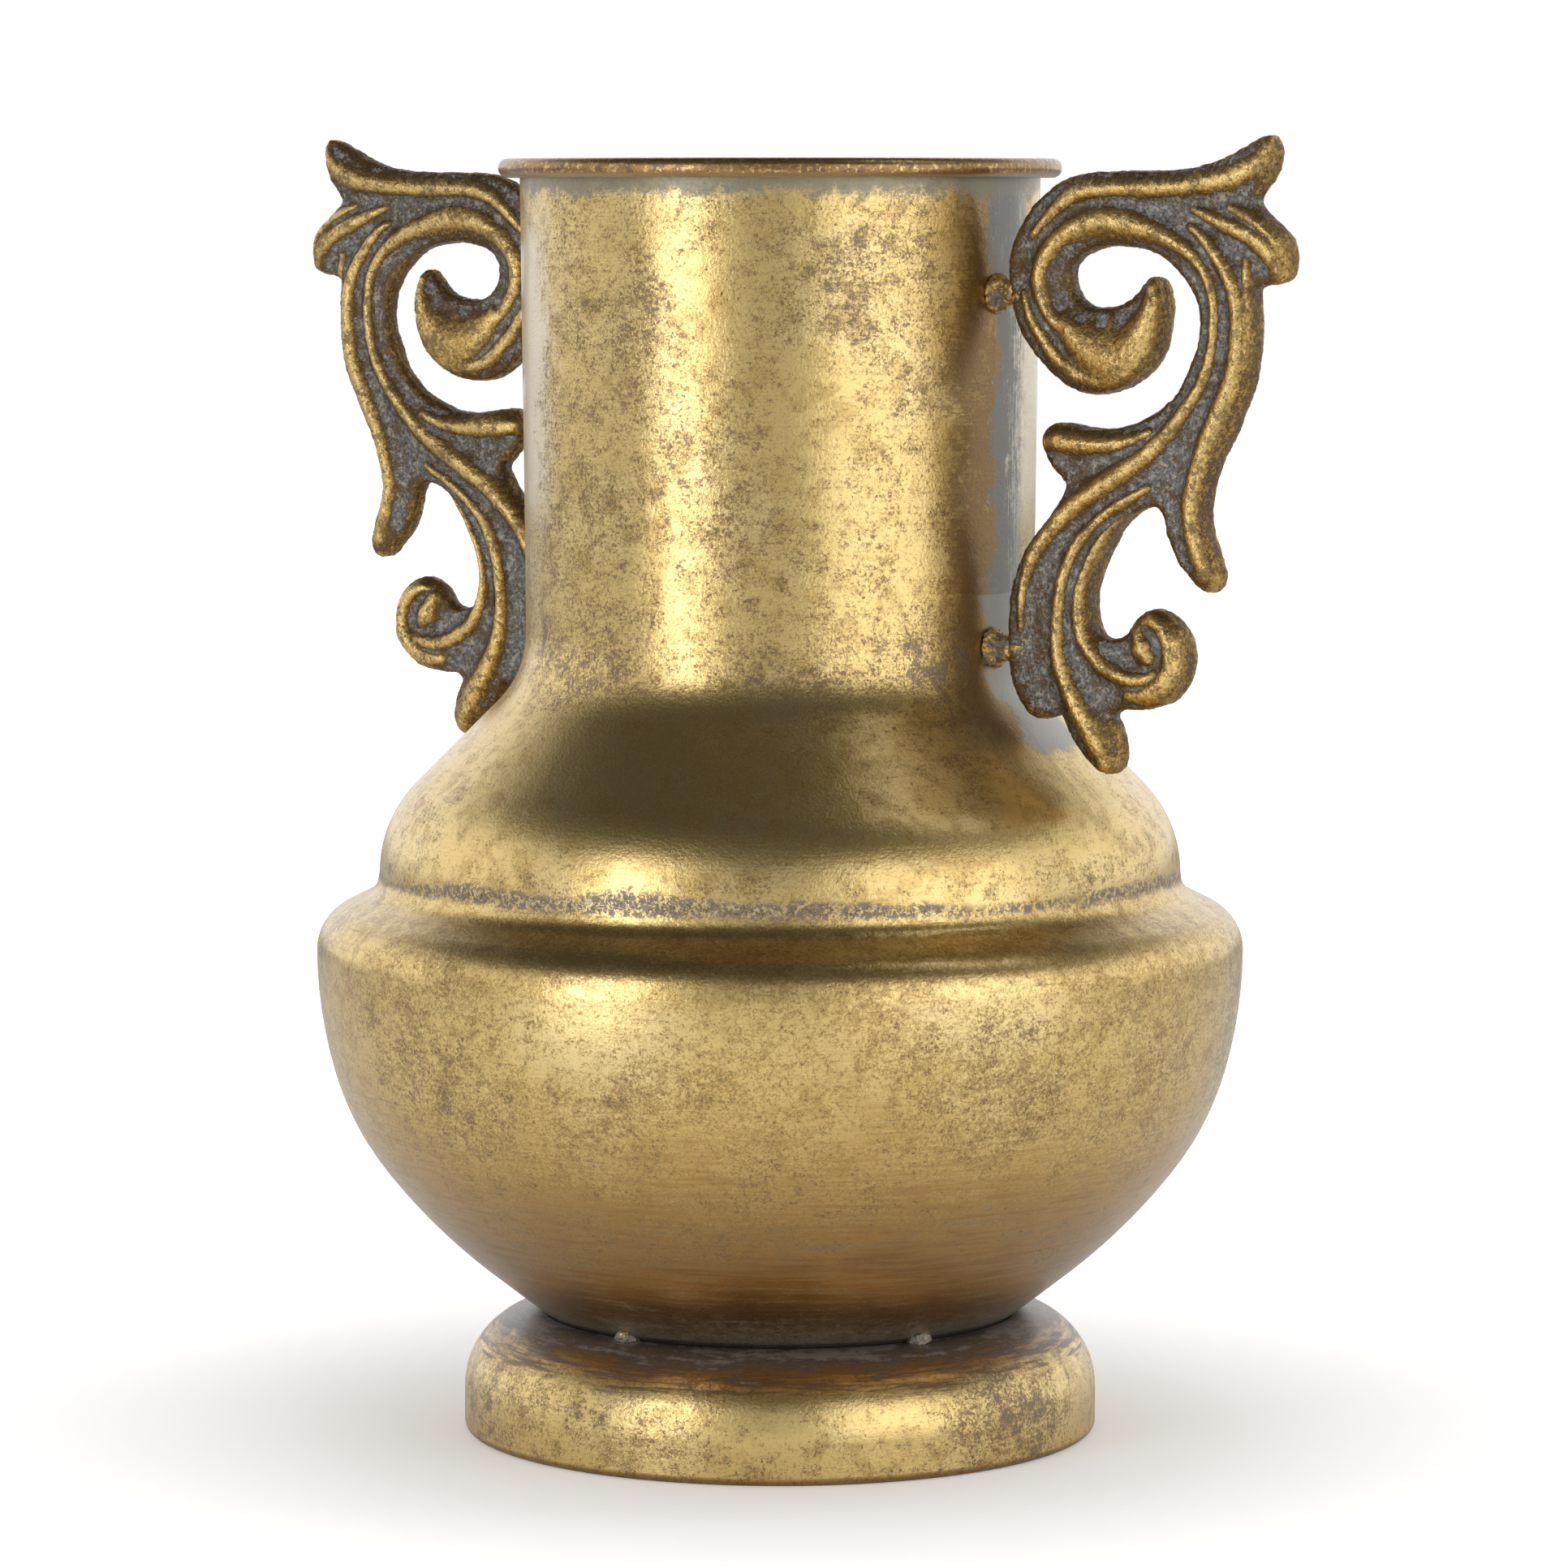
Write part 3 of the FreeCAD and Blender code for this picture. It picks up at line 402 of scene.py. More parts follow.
def neck_finish():
    f = Gilding("gilded_neck")
    f.worn(-0.12)
    for spot in ((-89.0, 271.0, 12.0, 9.0, 0.45), (-88.0, 262.0, 8.0, 6.0, 0.35),
                 (-76.0, 284.0, 16.0, 10.0, 0.18), (-31.0, 283.0, 15.0, 13.0, 0.62),
                 (-76.0, 219.0, 8.0, 6.0, 0.4), (-20.0, 262.0, 8.0, 8.0, 0.35),
                 (-22.0, 240.0, 7.0, 10.0, 0.25), (-92.0, 240.0, 25.0, 18.0, 0.15),
                 (-48.0, 245.0, 14.0, 34.0, -0.40), (70.0, 270.0, 30.0, 20.0, 0.35),
                 (120.0, 230.0, 25.0, 15.0, 0.3), (35.0, 235.0, 12.0, 18.0, 0.25)):
        f.patch(*spot)
    f.gild()
    side = f.stirred(f.off_handle, (f.drift, 3.0), (f.clump, 3.0))
    upright = f.cloud(1.1, 3.0, 0.7, (0.7, 0.7, 12.0), seed=37.0, warp=0.2)

    # The copper strip beside each handle, with gold left on it. Its dark brown is partly real copper and
    # partly a painted reflection and shade of the handle.
    brown = f.stirred(side, (f.crackle, 5.0), (f.across, 1.5))
    f.lay(f.times(f.band(brown, -13.0, 6.0, 4.0), 0.90), COPPER_BROWN, 1.0, 0.34)
    glow = f.stirred(0.0, (f.clump, 1.0), (f.crackle, 0.6), (f.grit, 0.4))
    f.lay(f.times(f.band(brown, -16.0, 9.0, 4.0), f.ease(glow, 0.15, 0.5, 0.0, 0.7)), OLD_GOLD, 1.0, 0.34)
    f.speckle()

    # The grey strip behind the handle, scratched upright, and the pale gold next to it. The paler primer away
    # from the handle and the cream gold are partly real and partly a painted reflection where the neck turns
    # away.
    start = f.stirred(f.plus(side, f.times(f.ease(f.high, 262.0, 290.0), 4.0)), (f.grit, 2.0))
    grey = f.times(f.ease(start, -1.0, 2.5), f.ease(side, 10.0, 16.0, 0.95, 0.0))
    f.lay(grey, DARK_PRIMER, 0.45, 0.42)
    # Partly painted reflection: the primer grows paler away from the handle.
    pale = f.stirred(f.ease(side, 3.0, 13.0, -0.5, 0.35), (upright, 0.9), (f.fleck, 0.4))
    f.lay(f.times(grey, f.ease(pale, -0.15, 0.35, 0.0, 0.85)), PALE_PRIMER, 0.35, 0.36)
    edge = f.stirred(side, (upright, 4.0), (f.crackle, 5.0), (f.grit, 3.0))
    tall = f.band(f.ragged_height(4.0), 222.0, 288.0, 9.0)
    # Painted reflection over real pale gold: a cream strip along the neck's turning edges.
    f.lay(f.times(f.band(edge, 12.0, 62.0, 5.0), tall), CREAM_GOLD_AND_EDGE_REFLECTION, 0.9, 0.36)

    # The slate band under the rim, and the rim's darker bead with its glints.
    f.lay(f.times(f.ease(f.ragged_height(2.5), 294.5, 297.5), 0.85), GREEN_SLATE, 0.5, 0.48)
    f.lay(f.times(f.ease(f.high, NECK_END, RIM_START), 0.9), COPPER_GOLD, 1.0, 0.32)
    on_bead = f.ease(f.high, NECK_END, RIM_START, -4.0, 0.0)
    dark = f.stirred(on_bead, (f.crackle, 0.7), (f.fleck, 0.5))
    f.lay(f.times(f.ease(dark, 0.05, 0.40), 0.85), BROWN_OXIDE, 0.6, 0.42)
    glint = f.stirred(on_bead, (f.fleck, -0.8), (f.grit, 0.3))
    f.lay(f.times(f.ease(glint, 0.15, 0.45), 0.8), GOLD, 1.0, 0.26)
    return f.close(0.085)


def shoulder_finish():
    f = Gilding("gilded_shoulder")
    f.worn(f.band(f.high, 177.0, 205.0, 6.0))
    f.worn(-0.85)
    for spot in ((-27.0, 189.0, 22.0, 9.0, 0.85), (-105.0, 185.0, 25.0, 16.0, 0.7),
                 (-62.0, 188.0, 12.0, 8.0, 0.5)):
        f.patch(*spot)
    f.worn(f.times(f.band(f.high, 137.0, 143.0, 3.0), 0.45))
    f.gild()
    side = f.stirred(f.off_handle, (f.drift, 3.0), (f.clump, 3.0))
    copper = f.times(f.band(side, -14.0, 12.0, 5.0), f.ease(f.high, 165.0, 172.0, 0.0, 0.75))
    f.lay(copper, COPPER_BROWN, 1.0, 0.36)
    f.speckle()

    # Grey primer left under the handle, palest where the flare starts.
    grey = f.times(f.ease(f.stirred(side, (f.grit, 2.0)), -4.0, 0.0), f.ease(side, 12.0, 18.0, 1.0, 0.0))
    above = f.ease(f.ragged_height(1.5), 166.0, 169.0)
    f.lay(f.times(grey, f.times(above, 0.95)), GREY_PRIMER, 0.25, 0.50)
    f.lay(f.times(f.times(grey, f.ease(f.high, 178.0, 186.0, 1.0, 0.0)), above), PALE_PRIMER, 0.1, 0.45)

    # Residue in the crease over the belt, deepest to the left of the front.
    crease = f.stirred(f.plus(f.ragged_height(1.3), 1.9), (f.drift, 1.6))
    for spot, deep in (((-76.0, 137.0, 46.0, 40.0), -2.4), ((0.0, 137.0, 16.0, 40.0), -1.6)):
        crease = f.plus(crease, f.times(f.near(*spot), deep))
    fleck, grit = f.swing(f.fleck, 1.0), f.swing(f.grit, 1.0)
    f.lay(f.times(f.ease(crease, 136.8, 138.4, 1.0, 0.0), f.ease(fleck, -0.25, 0.1, 0.0, 0.9)),
          SLATE, 0.35, 0.5)
    f.lay(f.times(f.ease(crease, 135.8, 138.0, 1.0, 0.0), f.ease(grit, 0.05, 0.3, 0.0, 0.9)),
          BROWN_OXIDE, 0.5, 0.5)
    f.lay(f.times(f.ease(crease, 135.6, 137.6, 1.0, 0.0), f.ease(fleck, -0.45, -0.2, 0.75, 0.0)),
          PALE_PRIMER, 0.15, 0.5)
    return f.close(0.075)


def bowl_finish():
    f = Gilding("gilded_bowl")
    f.worn(-0.62)
    for spot in ((-105.0, 92.0, 24.0, 26.0, 0.42), (-22.0, 92.0, 22.0, 14.0, 0.30),
                 (-52.0, 72.0, 20.0, 12.0, 0.25), (-24.0, 108.0, 5.0, 4.0, 0.7),
                 (-60.0, 118.0, 50.0, 10.0, -0.20), (10.0, 90.0, 20.0, 20.0, 0.2)):
        f.patch(*spot)
    f.worn(f.ease(f.high, 120.0, 125.0, 0.0, -0.5))
    f.gild()

    # Browner the lower it gets, in streaks that run round the bowl.
    streak = f.cloud(1.5, 3.0, 0.7, (16.0, 16.0, 0.7), seed=33.0, warp=0.2)
    stain = f.stirred(0.0, (f.grit, 0.9), (f.crackle, 0.8), (f.drift, 0.4))
    f.lay(f.times(f.ease(stain, -0.35, 0.35), 0.75), DEEP_GOLD, 1.0, 0.32)
    low = f.stirred(f.high, (f.drift, 8.0), (streak, 14.0), (f.crackle, 7.0))
    for bottom, top, colour, roughness in ((60.0, 108.0, DEEP_GOLD, 0.32), (46.0, 84.0, COPPER_GOLD, 0.34),
                                           (34.0, 60.0, RED_BROWN, 0.34)):
        f.lay(f.ease(low, bottom, top, 0.75, 0.0), colour, 1.0, roughness)
    # Painted highlights over paler leaf: two pale gold patches where the side lamps mirror in the bowl.
    for spot in ((-77.0, 108.0, 15.0, 16.0), (-30.0, 112.0, 14.0, 12.0)):
        f.lay(f.times(f.near(*spot), f.ease(stain, -0.3, 0.5, 0.75, 0.3)), PALE_GOLD, 1.0, 0.30)
    dark = f.stirred(f.ease(f.high, 40.0, 105.0, 0.0, -0.5), (streak, 1.0), (f.grit, 0.25))
    f.lay(f.times(f.ease(dark, -0.1, 0.40), 0.65), OXIDE_GOLD, 1.0, 0.36)
    f.speckle(0.95, 0.85)

    # Sage grey just over the foot, with scuffs above it, and a painted shade for the dark gap at the foot
    # itself.
    sage = f.stirred(f.high, (f.clump, 1.8), (streak, 3.0), (f.crackle, 3.5))
    f.lay(f.ease(sage, 29.5, 38.5, 0.9, 0.0), SAGE, 0.35, 0.48)
    grain = f.ease(f.swing(f.grit, 1.0), 0.0, 0.4, 0.0, 0.65)
    f.lay(f.times(f.ease(f.high, 36.0, 50.0, 1.0, 0.0), grain), RED_BROWN, 0.9, 0.4)
    scuff = f.stirred(f.ease(f.high, 40.0, 90.0, 0.0, -0.5), (streak, 0.9), (f.fleck, 0.6))
    f.lay(f.times(f.ease(scuff, 0.35, 0.65), 0.55), SAGE, 0.5, 0.45)
    # Painted shade: a black line where the bowl meets the foot.
    f.lay(f.ease(f.high, 29.6, 30.6, 0.85, 0.0), BLACK_OXIDE_AND_GAP_SHADE, 0.3, 0.5)
    fleck = f.ease(f.swing(f.fleck, 1.0), -0.2, 0.1, 0.0, 0.9)
    f.lay(f.times(f.ease(f.ragged_height(0.9), 132.6, 134.2), fleck), SLATE, 0.35, 0.5)
    return f.close(0.075)


def foot_finish():
    f = Gilding("gilded_foot")
    f.worn(-0.30)
    for spot in ((-112.0, 14.0, 26.0, 16.0, 0.75), (-8.0, 12.0, 24.0, 18.0, 0.65),
                 (-48.0, 12.0, 22.0, 14.0, -0.35), (60.0, 14.0, 40.0, 16.0, 0.4),
                 (150.0, 14.0, 40.0, 16.0, 0.4)):
        f.patch(*spot)
    f.gild()
    streak = f.cloud(1.3, 3.0, 0.72, (14.0, 14.0, 0.9), seed=35.0, warp=0.2)
    brushed = f.stirred(f.high, (streak, 3.4), (f.crackle, 1.8))
    f.lay(f.ease(brushed, 18.5, 25.0, 0.0, 0.85), COPPER_BROWN, 1.0, 0.36)
    f.speckle()
    dark = f.stirred(f.ease(f.high, 17.0, 22.0, -1.0, 0.15), (streak, 1.0))
    f.lay(f.times(f.ease(dark, 0.05, 0.45), 0.75), BROWN_OXIDE, 0.8, 0.42)
    f.lay(f.ease(brushed, 23.8, 27.0, 0.0, 0.88), DARK_SLATE, 0.5, 0.44)
    pale = f.stirred(f.ease(f.high, 24.5, 28.5, -0.7, 0.1), (streak, 0.9), (f.crackle, 0.7))
    f.lay(f.times(f.ease(pale, -0.1, 0.4), 0.8), VIOLET_SLATE, 0.3, 0.46)
    f.lay(f.ease(f.ragged_height(0.4), 1.0, 2.2, 0.7, 0.0), COPPER_BROWN, 1.0, 0.4)
    return f.close(0.075)


def casting_finish():
    """Gold rubbed over the raised parts of a grey sand casting."""
    f = Finish("gilded_casting")
    raised = f.node("ShaderNodeAttribute", attribute_name="gilding").outputs["Fac"]
    sand = f.cloud(0.75, 3.0, 0.75, seed=3.0)
    blotch = f.cloud(4.5, 3.0, 0.65, seed=6.0)
    pits = f.cloud(1.5, 3.0, 0.62, seed=30.0)
    f.lay(0.0, SAND_GREY, 0.4, 0.50)
    f.lay(f.times(f.ease(blotch, 0.48, 0.60), 0.35), SLATE, 0.4, 0.55)
    f.lay(f.times(f.ease(sand, 0.50, 0.60), 0.80), BLACK_OXIDE_AND_GAP_SHADE, 0.4, 0.5)
    f.lay(f.times(f.ease(f.plus(pits, f.times(sand, -0.5)), 0.26, 0.34), 0.6), PALE_PRIMER, 0.5, 0.4)
    f.lay(f.times(f.ease(f.plus(sand, f.times(pits, 0.6)), 0.92, 1.00), 0.9), GOLD, 1.0, 0.35)
    edge = f.plus(raised, f.times(f.plus(sand, -0.5), 1.1))
    edge = f.plus(edge, f.plus(f.times(f.plus(blotch, -0.5), 0.9), f.times(f.plus(pits, -0.5), 0.6)))
    f.lay(f.ease(edge, 0.12, 0.26), CAST_BROWN, 0.8, 0.44)
    f.lay(f.times(f.ease(edge, 0.32, 0.60), 0.9), CAST_OLD_GOLD, 1.0, 0.34)
    f.lay(f.times(f.ease(edge, 0.60, 0.98), 0.9), CAST_GOLD, 1.0, 0.25)
    speck = f.plus(f.cloud(1.0, 4.0, 0.8, seed=19.0, warp=0.8), f.times(f.plus(blotch, -0.5), 0.9))
    f.lay(f.times(f.ease(speck, 0.47, 0.62), 0.75), CAST_BROWN, 0.8, 0.44)
    return f.finish(f.plus(sand, f.times(pits, 1.4)), 0.20)


def weld_finish():
    f = Finish("weld_metal")
    blotch = f.cloud(3.0, 4.0, 0.65, seed=41.0)
    f.lay(0.0, SLATE, 0.4, 0.55)
    f.lay(f.ease(blotch, 0.42, 0.52), OLD_GOLD, 0.9, 0.42)
    f.lay(f.times(f.ease(f.cloud(1.2, 3.0, 0.7, seed=44.0), 0.52, 0.62), 0.9), BROWN_OXIDE, 0.5, 0.5)
    return f.finish(f.times(f.cloud(1.1, 3.0, 0.6, seed=47.0), 1.2), 0.2)


def tack_finish():
    f = Finish("tack_metal")
    blotch = f.cloud(1.6, 3.0, 0.65, seed=61.0)
    f.lay(0.0, SAGE, 0.35, 0.50)
    f.lay(f.times(f.ease(blotch, 0.46, 0.56), 0.8), VIOLET_SLATE, 0.5, 0.48)
    f.lay(f.times(f.ease(f.cloud(1.0, 2.0, 0.6, seed=69.0), 0.56, 0.64), 0.8), OLD_GOLD, 1.0, 0.36)
    f.lay(f.times(f.ease(f.cloud(0.9, 3.0, 0.7, seed=64.0), 0.54, 0.62), 0.8), BROWN_OXIDE, 0.5, 0.5)
    return f.finish(f.cloud(0.8, 3.0, 0.6, seed=67.0), 0.15)


def wire_finish():
    f = Finish("drawn_wire")
    f.lay(0.0, SLATE, 0.8, 0.4)
    f.lay(f.ease(f.cloud(2.0, 4.0, 0.6, seed=51.0), 0.50, 0.62), BROWN_OXIDE, 0.5, 0.55)
    return f.finish(f.cloud(0.6, 2.0, 0.5, seed=52.0), 0.05)


# Cast handles

# The outline of a handle, clockwise from the tip of its top leaf, in millimetres
# from the axis and over the table. Each run is one smooth curve between sharp notches.
OUTLINE = [
    [(136.9, 309.4), (137.6, 306.8), (137.8, 304.8), (137.4, 302.3), (136.5, 299.9), (135.0, 297.7),
     (133.5, 296.0), (132.4, 294.1)],
    [(132.4, 294.1), (134.0, 292.1), (136.1, 290.4), (138.3, 288.6), (140.4, 286.4), (141.5, 283.6),
     (141.8, 280.4), (141.2, 277.4), (138.6, 275.9), (135.4, 275.6), (131.8, 274.6)],
    [(131.8, 274.6), (132.2, 270.3), (132.4, 266.7), (132.1, 259.3), (130.9, 252.0), (127.7, 244.6),
     (123.7, 237.1), (121.8, 233.4), (120.5, 229.6), (119.7, 225.9), (119.5, 222.2), (120.6, 218.5),
     (122.2, 214.9), (123.4, 211.2), (123.8, 208.8), (122.9, 206.8), (121.0, 205.7), (118.4, 206.5),
     (116.2, 208.4), (114.0, 210.6), (112.2, 212.9), (110.7, 215.7), (109.5, 218.8), (108.9, 222.0),
     (107.6, 224.2), (105.6, 224.7), (103.4, 224.2), (101.3, 223.3), (98.8, 221.8), (96.6, 220.0),
     (94.8, 217.7), (92.3, 213.3), (90.5, 210.1), (89.1, 206.3), (88.7, 202.5), (89.2, 198.8),
     (90.4, 196.0), (92.3, 194.4), (95.4, 194.0), (98.4, 195.2), (100.3, 197.6), (102.1, 199.5),
     (104.3, 200.9), (107.1, 201.4), (109.8, 200.5), (112.2, 198.4), (114.0, 195.8), (114.9, 191.5),
     (114.9, 187.5), (113.8, 184.1), (111.3, 181.0), (108.0, 179.1), (104.6, 178.2), (100.8, 177.9),
     (96.8, 177.6), (94.9, 176.4)],
    [(94.9, 176.4), (96.5, 173.3), (97.4, 169.8), (97.5, 166.4), (96.6, 163.9), (94.1, 162.7),
     (91.3, 163.4), (88.9, 165.2), (86.6, 167.8), (84.3, 170.6), (82.5, 173.6), (80.9, 176.3)],
    [(80.9, 176.3), (77.9, 175.1), (75.0, 174.7), (72.6, 175.5), (70.6, 177.5), (68.6, 180.5),
     (67.2, 184.0), (66.5, 188.0), (66.3, 192.6), (66.4, 197.6), (66.7, 202.0), (67.6, 206.0),
     (68.9, 210.1), (70.6, 213.4), (73.0, 216.7), (75.6, 219.7), (78.2, 222.4), (80.2, 225.2),
     (81.6, 227.4), (82.3, 229.5)],
    [(82.3, 229.5), (80.6, 231.0), (78.9, 232.7), (77.3, 234.6), (76.1, 236.8), (75.6, 238.8),
     (76.0, 240.8), (77.2, 242.5), (79.2, 243.5), (82.4, 243.3), (86.7, 242.6), (91.3, 242.3),
     (95.0, 242.5), (98.8, 243.2), (102.4, 244.5), (106.0, 246.2), (109.2, 248.4), (111.9, 251.0),
     (114.1, 254.2), (115.9, 258.0), (117.4, 262.3), (118.1, 266.6), (117.5, 270.4), (115.9, 274.0),
     (113.2, 277.4), (109.8, 280.4), (106.3, 282.4), (102.9, 283.4), (99.2, 284.0), (95.4, 284.1),
     (91.7, 283.7), (88.3, 282.8), (85.6, 281.5), (83.8, 279.7), (83.2, 277.4), (83.6, 274.8),
     (84.9, 272.6), (86.8, 271.0), (89.2, 270.2), (92.2, 270.1), (95.6, 270.5), (98.8, 271.7),
     (101.2, 273.5), (103.2, 275.8), (105.0, 277.4), (106.9, 276.6), (107.9, 274.2), (108.3, 270.4),
     (108.0, 265.6), (106.9, 260.8), (105.1, 257.3), (102.7, 254.8), (99.8, 252.8), (96.3, 251.2),
     (92.4, 250.3), (88.2, 250.2), (84.2, 251.1), (80.2, 253.3), (76.4, 256.3), (73.0, 259.7),
     (70.2, 263.3), (68.0, 267.4), (66.8, 271.8), (66.2, 276.2), (66.2, 280.0), (66.9, 283.6),
     (68.1, 286.6), (70.0, 289.9), (72.4, 292.9), (75.4, 295.6), (78.8, 298.1), (81.5, 299.5),
     (84.4, 300.4), (88.4, 300.9), (96.7, 301.2), (104.0, 301.3), (111.0, 301.5), (117.7, 302.5),
     (122.3, 303.6), (126.2, 305.1), (130.4, 307.1), (134.0, 308.9)],
]

# Middle lines of what stands proud of a handle's faces: from the axis, over the table,
# half the width, and the height over the middle of the casting, all in millimetres.
RIDGES = {
    "top_band": [(74.0, 286.6, 0.8, 4.4), (77.2, 289.6, 1.4, 5.1), (80.4, 292.6, 1.7, 5.5),
                 (84.2, 295.2, 1.9, 5.7), (89.0, 296.8, 2.0, 5.8), (97.0, 297.3, 2.0, 5.8),
                 (104.8, 297.4, 2.0, 5.8), (113.0, 297.7, 2.1, 5.8), (121.0, 298.6, 2.3, 5.8),
                 (127.6, 299.9, 2.5, 5.6), (132.6, 302.2, 2.4, 5.0), (135.6, 305.2, 1.7, 4.2),
                 (136.9, 307.8, 0.9, 3.4)],
    "scroll": [(86.2, 262.9, 0.8, 4.6), (83.4, 264.2, 1.3, 5.2), (80.3, 267.1, 1.7, 5.5),
               (77.6, 270.8, 1.9, 5.6),
               (76.2, 275.2, 2.1, 5.7), (76.6, 279.4, 2.2, 5.7), (78.6, 283.0, 2.3, 5.8),
               (82.0, 286.2, 2.5, 5.8), (86.8, 288.6, 2.8, 5.8), (92.3, 289.9, 3.1, 5.8),
               (97.4, 289.8, 3.0, 5.8), (103.2, 288.6, 2.5, 5.7), (110.6, 286.2, 2.0, 5.6),
               (115.6, 283.4, 1.7, 5.5), (119.4, 280.0, 1.5, 5.4), (121.8, 275.8, 1.3, 5.4),
               (122.9, 271.2, 1.2, 5.3), (123.1, 266.6, 1.2, 5.3), (122.0, 258.8, 1.3, 5.4),
               (120.1, 253.8, 1.4, 5.4), (117.4, 249.4, 1.5, 5.4), (113.9, 245.1, 1.7, 5.5),
               (110.4, 241.2, 1.9, 5.5), (105.8, 237.2, 2.3, 5.6), (99.4, 232.9, 2.5, 5.7),
               (92.9, 229.0, 2.5, 5.7), (87.2, 225.6, 2.4, 5.6), (82.7, 221.9, 2.2, 5.6),
               (78.9, 218.2, 2.0, 5.5), (75.5, 214.0, 1.8, 5.3), (73.2, 209.8, 1.5, 5.1),
               (71.8, 205.4, 1.2, 4.8), (71.0, 200.2, 0.9, 4.5), (70.7, 195.2, 0.5, 3.8)],
    "stem": [(116.4, 288.6, 0.7, 4.6), (119.4, 286.9, 1.2, 5.2), (123.8, 281.8, 1.7, 5.5),
             (126.8, 277.6, 1.9, 5.6),
             (128.7, 272.9, 2.0, 5.6), (129.4, 266.8, 2.1, 5.6), (129.0, 259.6, 2.2, 5.6),
             (127.8, 254.0, 2.3, 5.6), (125.2, 248.2, 2.3, 5.6), (122.6, 242.6, 2.3, 5.6),
             (120.0, 236.8, 2.2, 5.5), (118.0, 230.6, 2.1, 5.4), (117.0, 225.4, 2.2, 5.2),
             (117.3, 220.6, 2.3, 5.0), (118.6, 215.6, 2.4, 4.8), (120.3, 210.8, 2.2, 4.3)],
    "stem_side": [(131.2, 281.0, 0.8, 4.2), (131.4, 275.6, 1.4, 4.7), (131.6, 268.0, 1.5, 4.8),
                  (131.2, 260.0, 1.4, 4.7), (129.6, 252.6, 1.0, 4.2)],
    "outer_leaf": [(117.0, 292.6, 0.7, 4.4), (122.7, 290.4, 1.6, 5.3), (128.1, 288.4, 2.0, 5.5),
                   (133.4, 286.0, 2.3, 5.5), (137.4, 283.0, 2.5, 5.0), (139.2, 279.8, 2.0, 4.2)],
    "outer_leaf_edge": [(126.6, 293.0, 0.8, 4.2), (131.6, 290.8, 1.4, 4.8), (136.0, 288.2, 1.6, 4.8),
                        (139.4, 284.8, 1.6, 4.6), (140.2, 281.2, 1.4, 4.2)],
    "inner_leaf": [(77.8, 239.2, 1.6, 4.4), (81.6, 239.2, 2.4, 5.4), (87.6, 238.9, 2.3, 5.7),
                   (94.2, 238.8, 1.9, 5.6), (100.6, 239.7, 1.5, 5.2), (106.2, 241.8, 1.0, 4.7)],
    "lower_leaf": [(105.4, 229.2, 0.6, 4.4), (101.0, 226.9, 1.0, 5.0), (96.4, 224.3, 1.2, 5.2),
                   (91.0, 220.2, 1.3, 5.3), (87.2, 216.2, 1.4, 5.3), (84.6, 212.0, 1.5, 5.4),
                   (82.8, 207.2, 1.6, 5.5), (81.8, 201.4, 1.7, 5.6), (81.4, 195.4, 1.8, 5.6),
                   (81.8, 189.6, 2.0, 5.7), (83.4, 184.4, 2.3, 5.7), (86.2, 179.2, 2.7, 5.7),
                   (89.4, 174.2, 3.0, 5.6), (92.2, 169.6, 3.0, 5.2), (93.8, 166.2, 2.4, 4.4)],
    "small_curl": [(100.2, 222.2, 0.7, 4.4), (96.2, 219.6, 1.1, 5.0), (92.4, 215.4, 1.3, 5.2),
                   (89.4, 210.4, 1.4, 5.3), (87.6, 205.4, 1.5, 5.4), (87.0, 200.6, 1.6, 5.4),
                   (87.6, 196.4, 1.7, 5.5), (89.2, 192.6, 1.8, 5.5), (92.2, 189.2, 1.9, 5.5),
                   (96.4, 186.6, 1.9, 5.5), (101.0, 185.0, 1.9, 5.5), (105.4, 185.2, 1.9, 5.4),
                   (108.2, 186.6, 1.6, 5.0)],
    "curl_wall": [(100.6, 181.6, 1.6, 4.6), (105.4, 182.0, 2.4, 5.2), (109.6, 184.2, 2.6, 5.6),
                  (112.2, 188.0, 2.6, 5.8), (112.4, 192.4, 2.5, 5.8), (110.6, 196.2, 2.2, 5.6),
                  (107.6, 198.4, 1.6, 5.0), (104.6, 198.4, 0.9, 4.2)],
    "curl_bead": [(103.2, 195.6, 1.8, 5.0), (104.6, 192.6, 2.6, 6.0), (106.2, 190.4, 2.0, 5.4)],
    "heart": [(106.4, 275.8, 1.3, 4.4), (106.6, 270.6, 2.6, 5.6), (104.6, 264.8, 4.2, 6.2),
              (100.6, 260.4, 5.4, 6.5), (95.6, 258.8, 5.9, 6.6), (90.8, 259.8, 5.3, 6.4),
              (86.8, 262.6, 4.0, 6.0), (83.0, 266.0, 2.6, 5.6)],
    "heart_rim": [(71.6, 273.4, 0.8, 4.2), (72.9, 269.4, 1.3, 4.9), (75.4, 265.2, 1.6, 5.2),
                  (78.8, 260.9, 1.8, 5.3), (82.8, 257.2, 1.9, 5.3), (87.4, 254.6, 1.9, 5.2),
                  (92.4, 253.6, 1.8, 5.0), (97.2, 254.4, 1.4, 4.6)],
}

# Half the casting's web, the round of its edges, and the heights over its middle plane of
# its valleys and of its usual crests, in millimetres.
WEB_HALF, WEB_ROUND, VALLEY, CREST = 3.4, 2.0, 2.9, 5.6
# The grain of the remeshed casting, and how far from its middle line a ridge is looked for.
CAST_GRAIN, RIDGE_REACH = 0.55, 9.0
# How far the casting's skin wanders in long waves and in grains of sand, in millimetres, and
# how often each comes in a millimetre.
WANDER, SAND, WANDER_RATE, SAND_RATE = 0.22, 0.15, 0.17, 0.80
# A ridge falls off like a bell: how steeply, and the share of its half width where it ends.
RIDGE_FALL, RIDGE_END = 0.72, 3.0


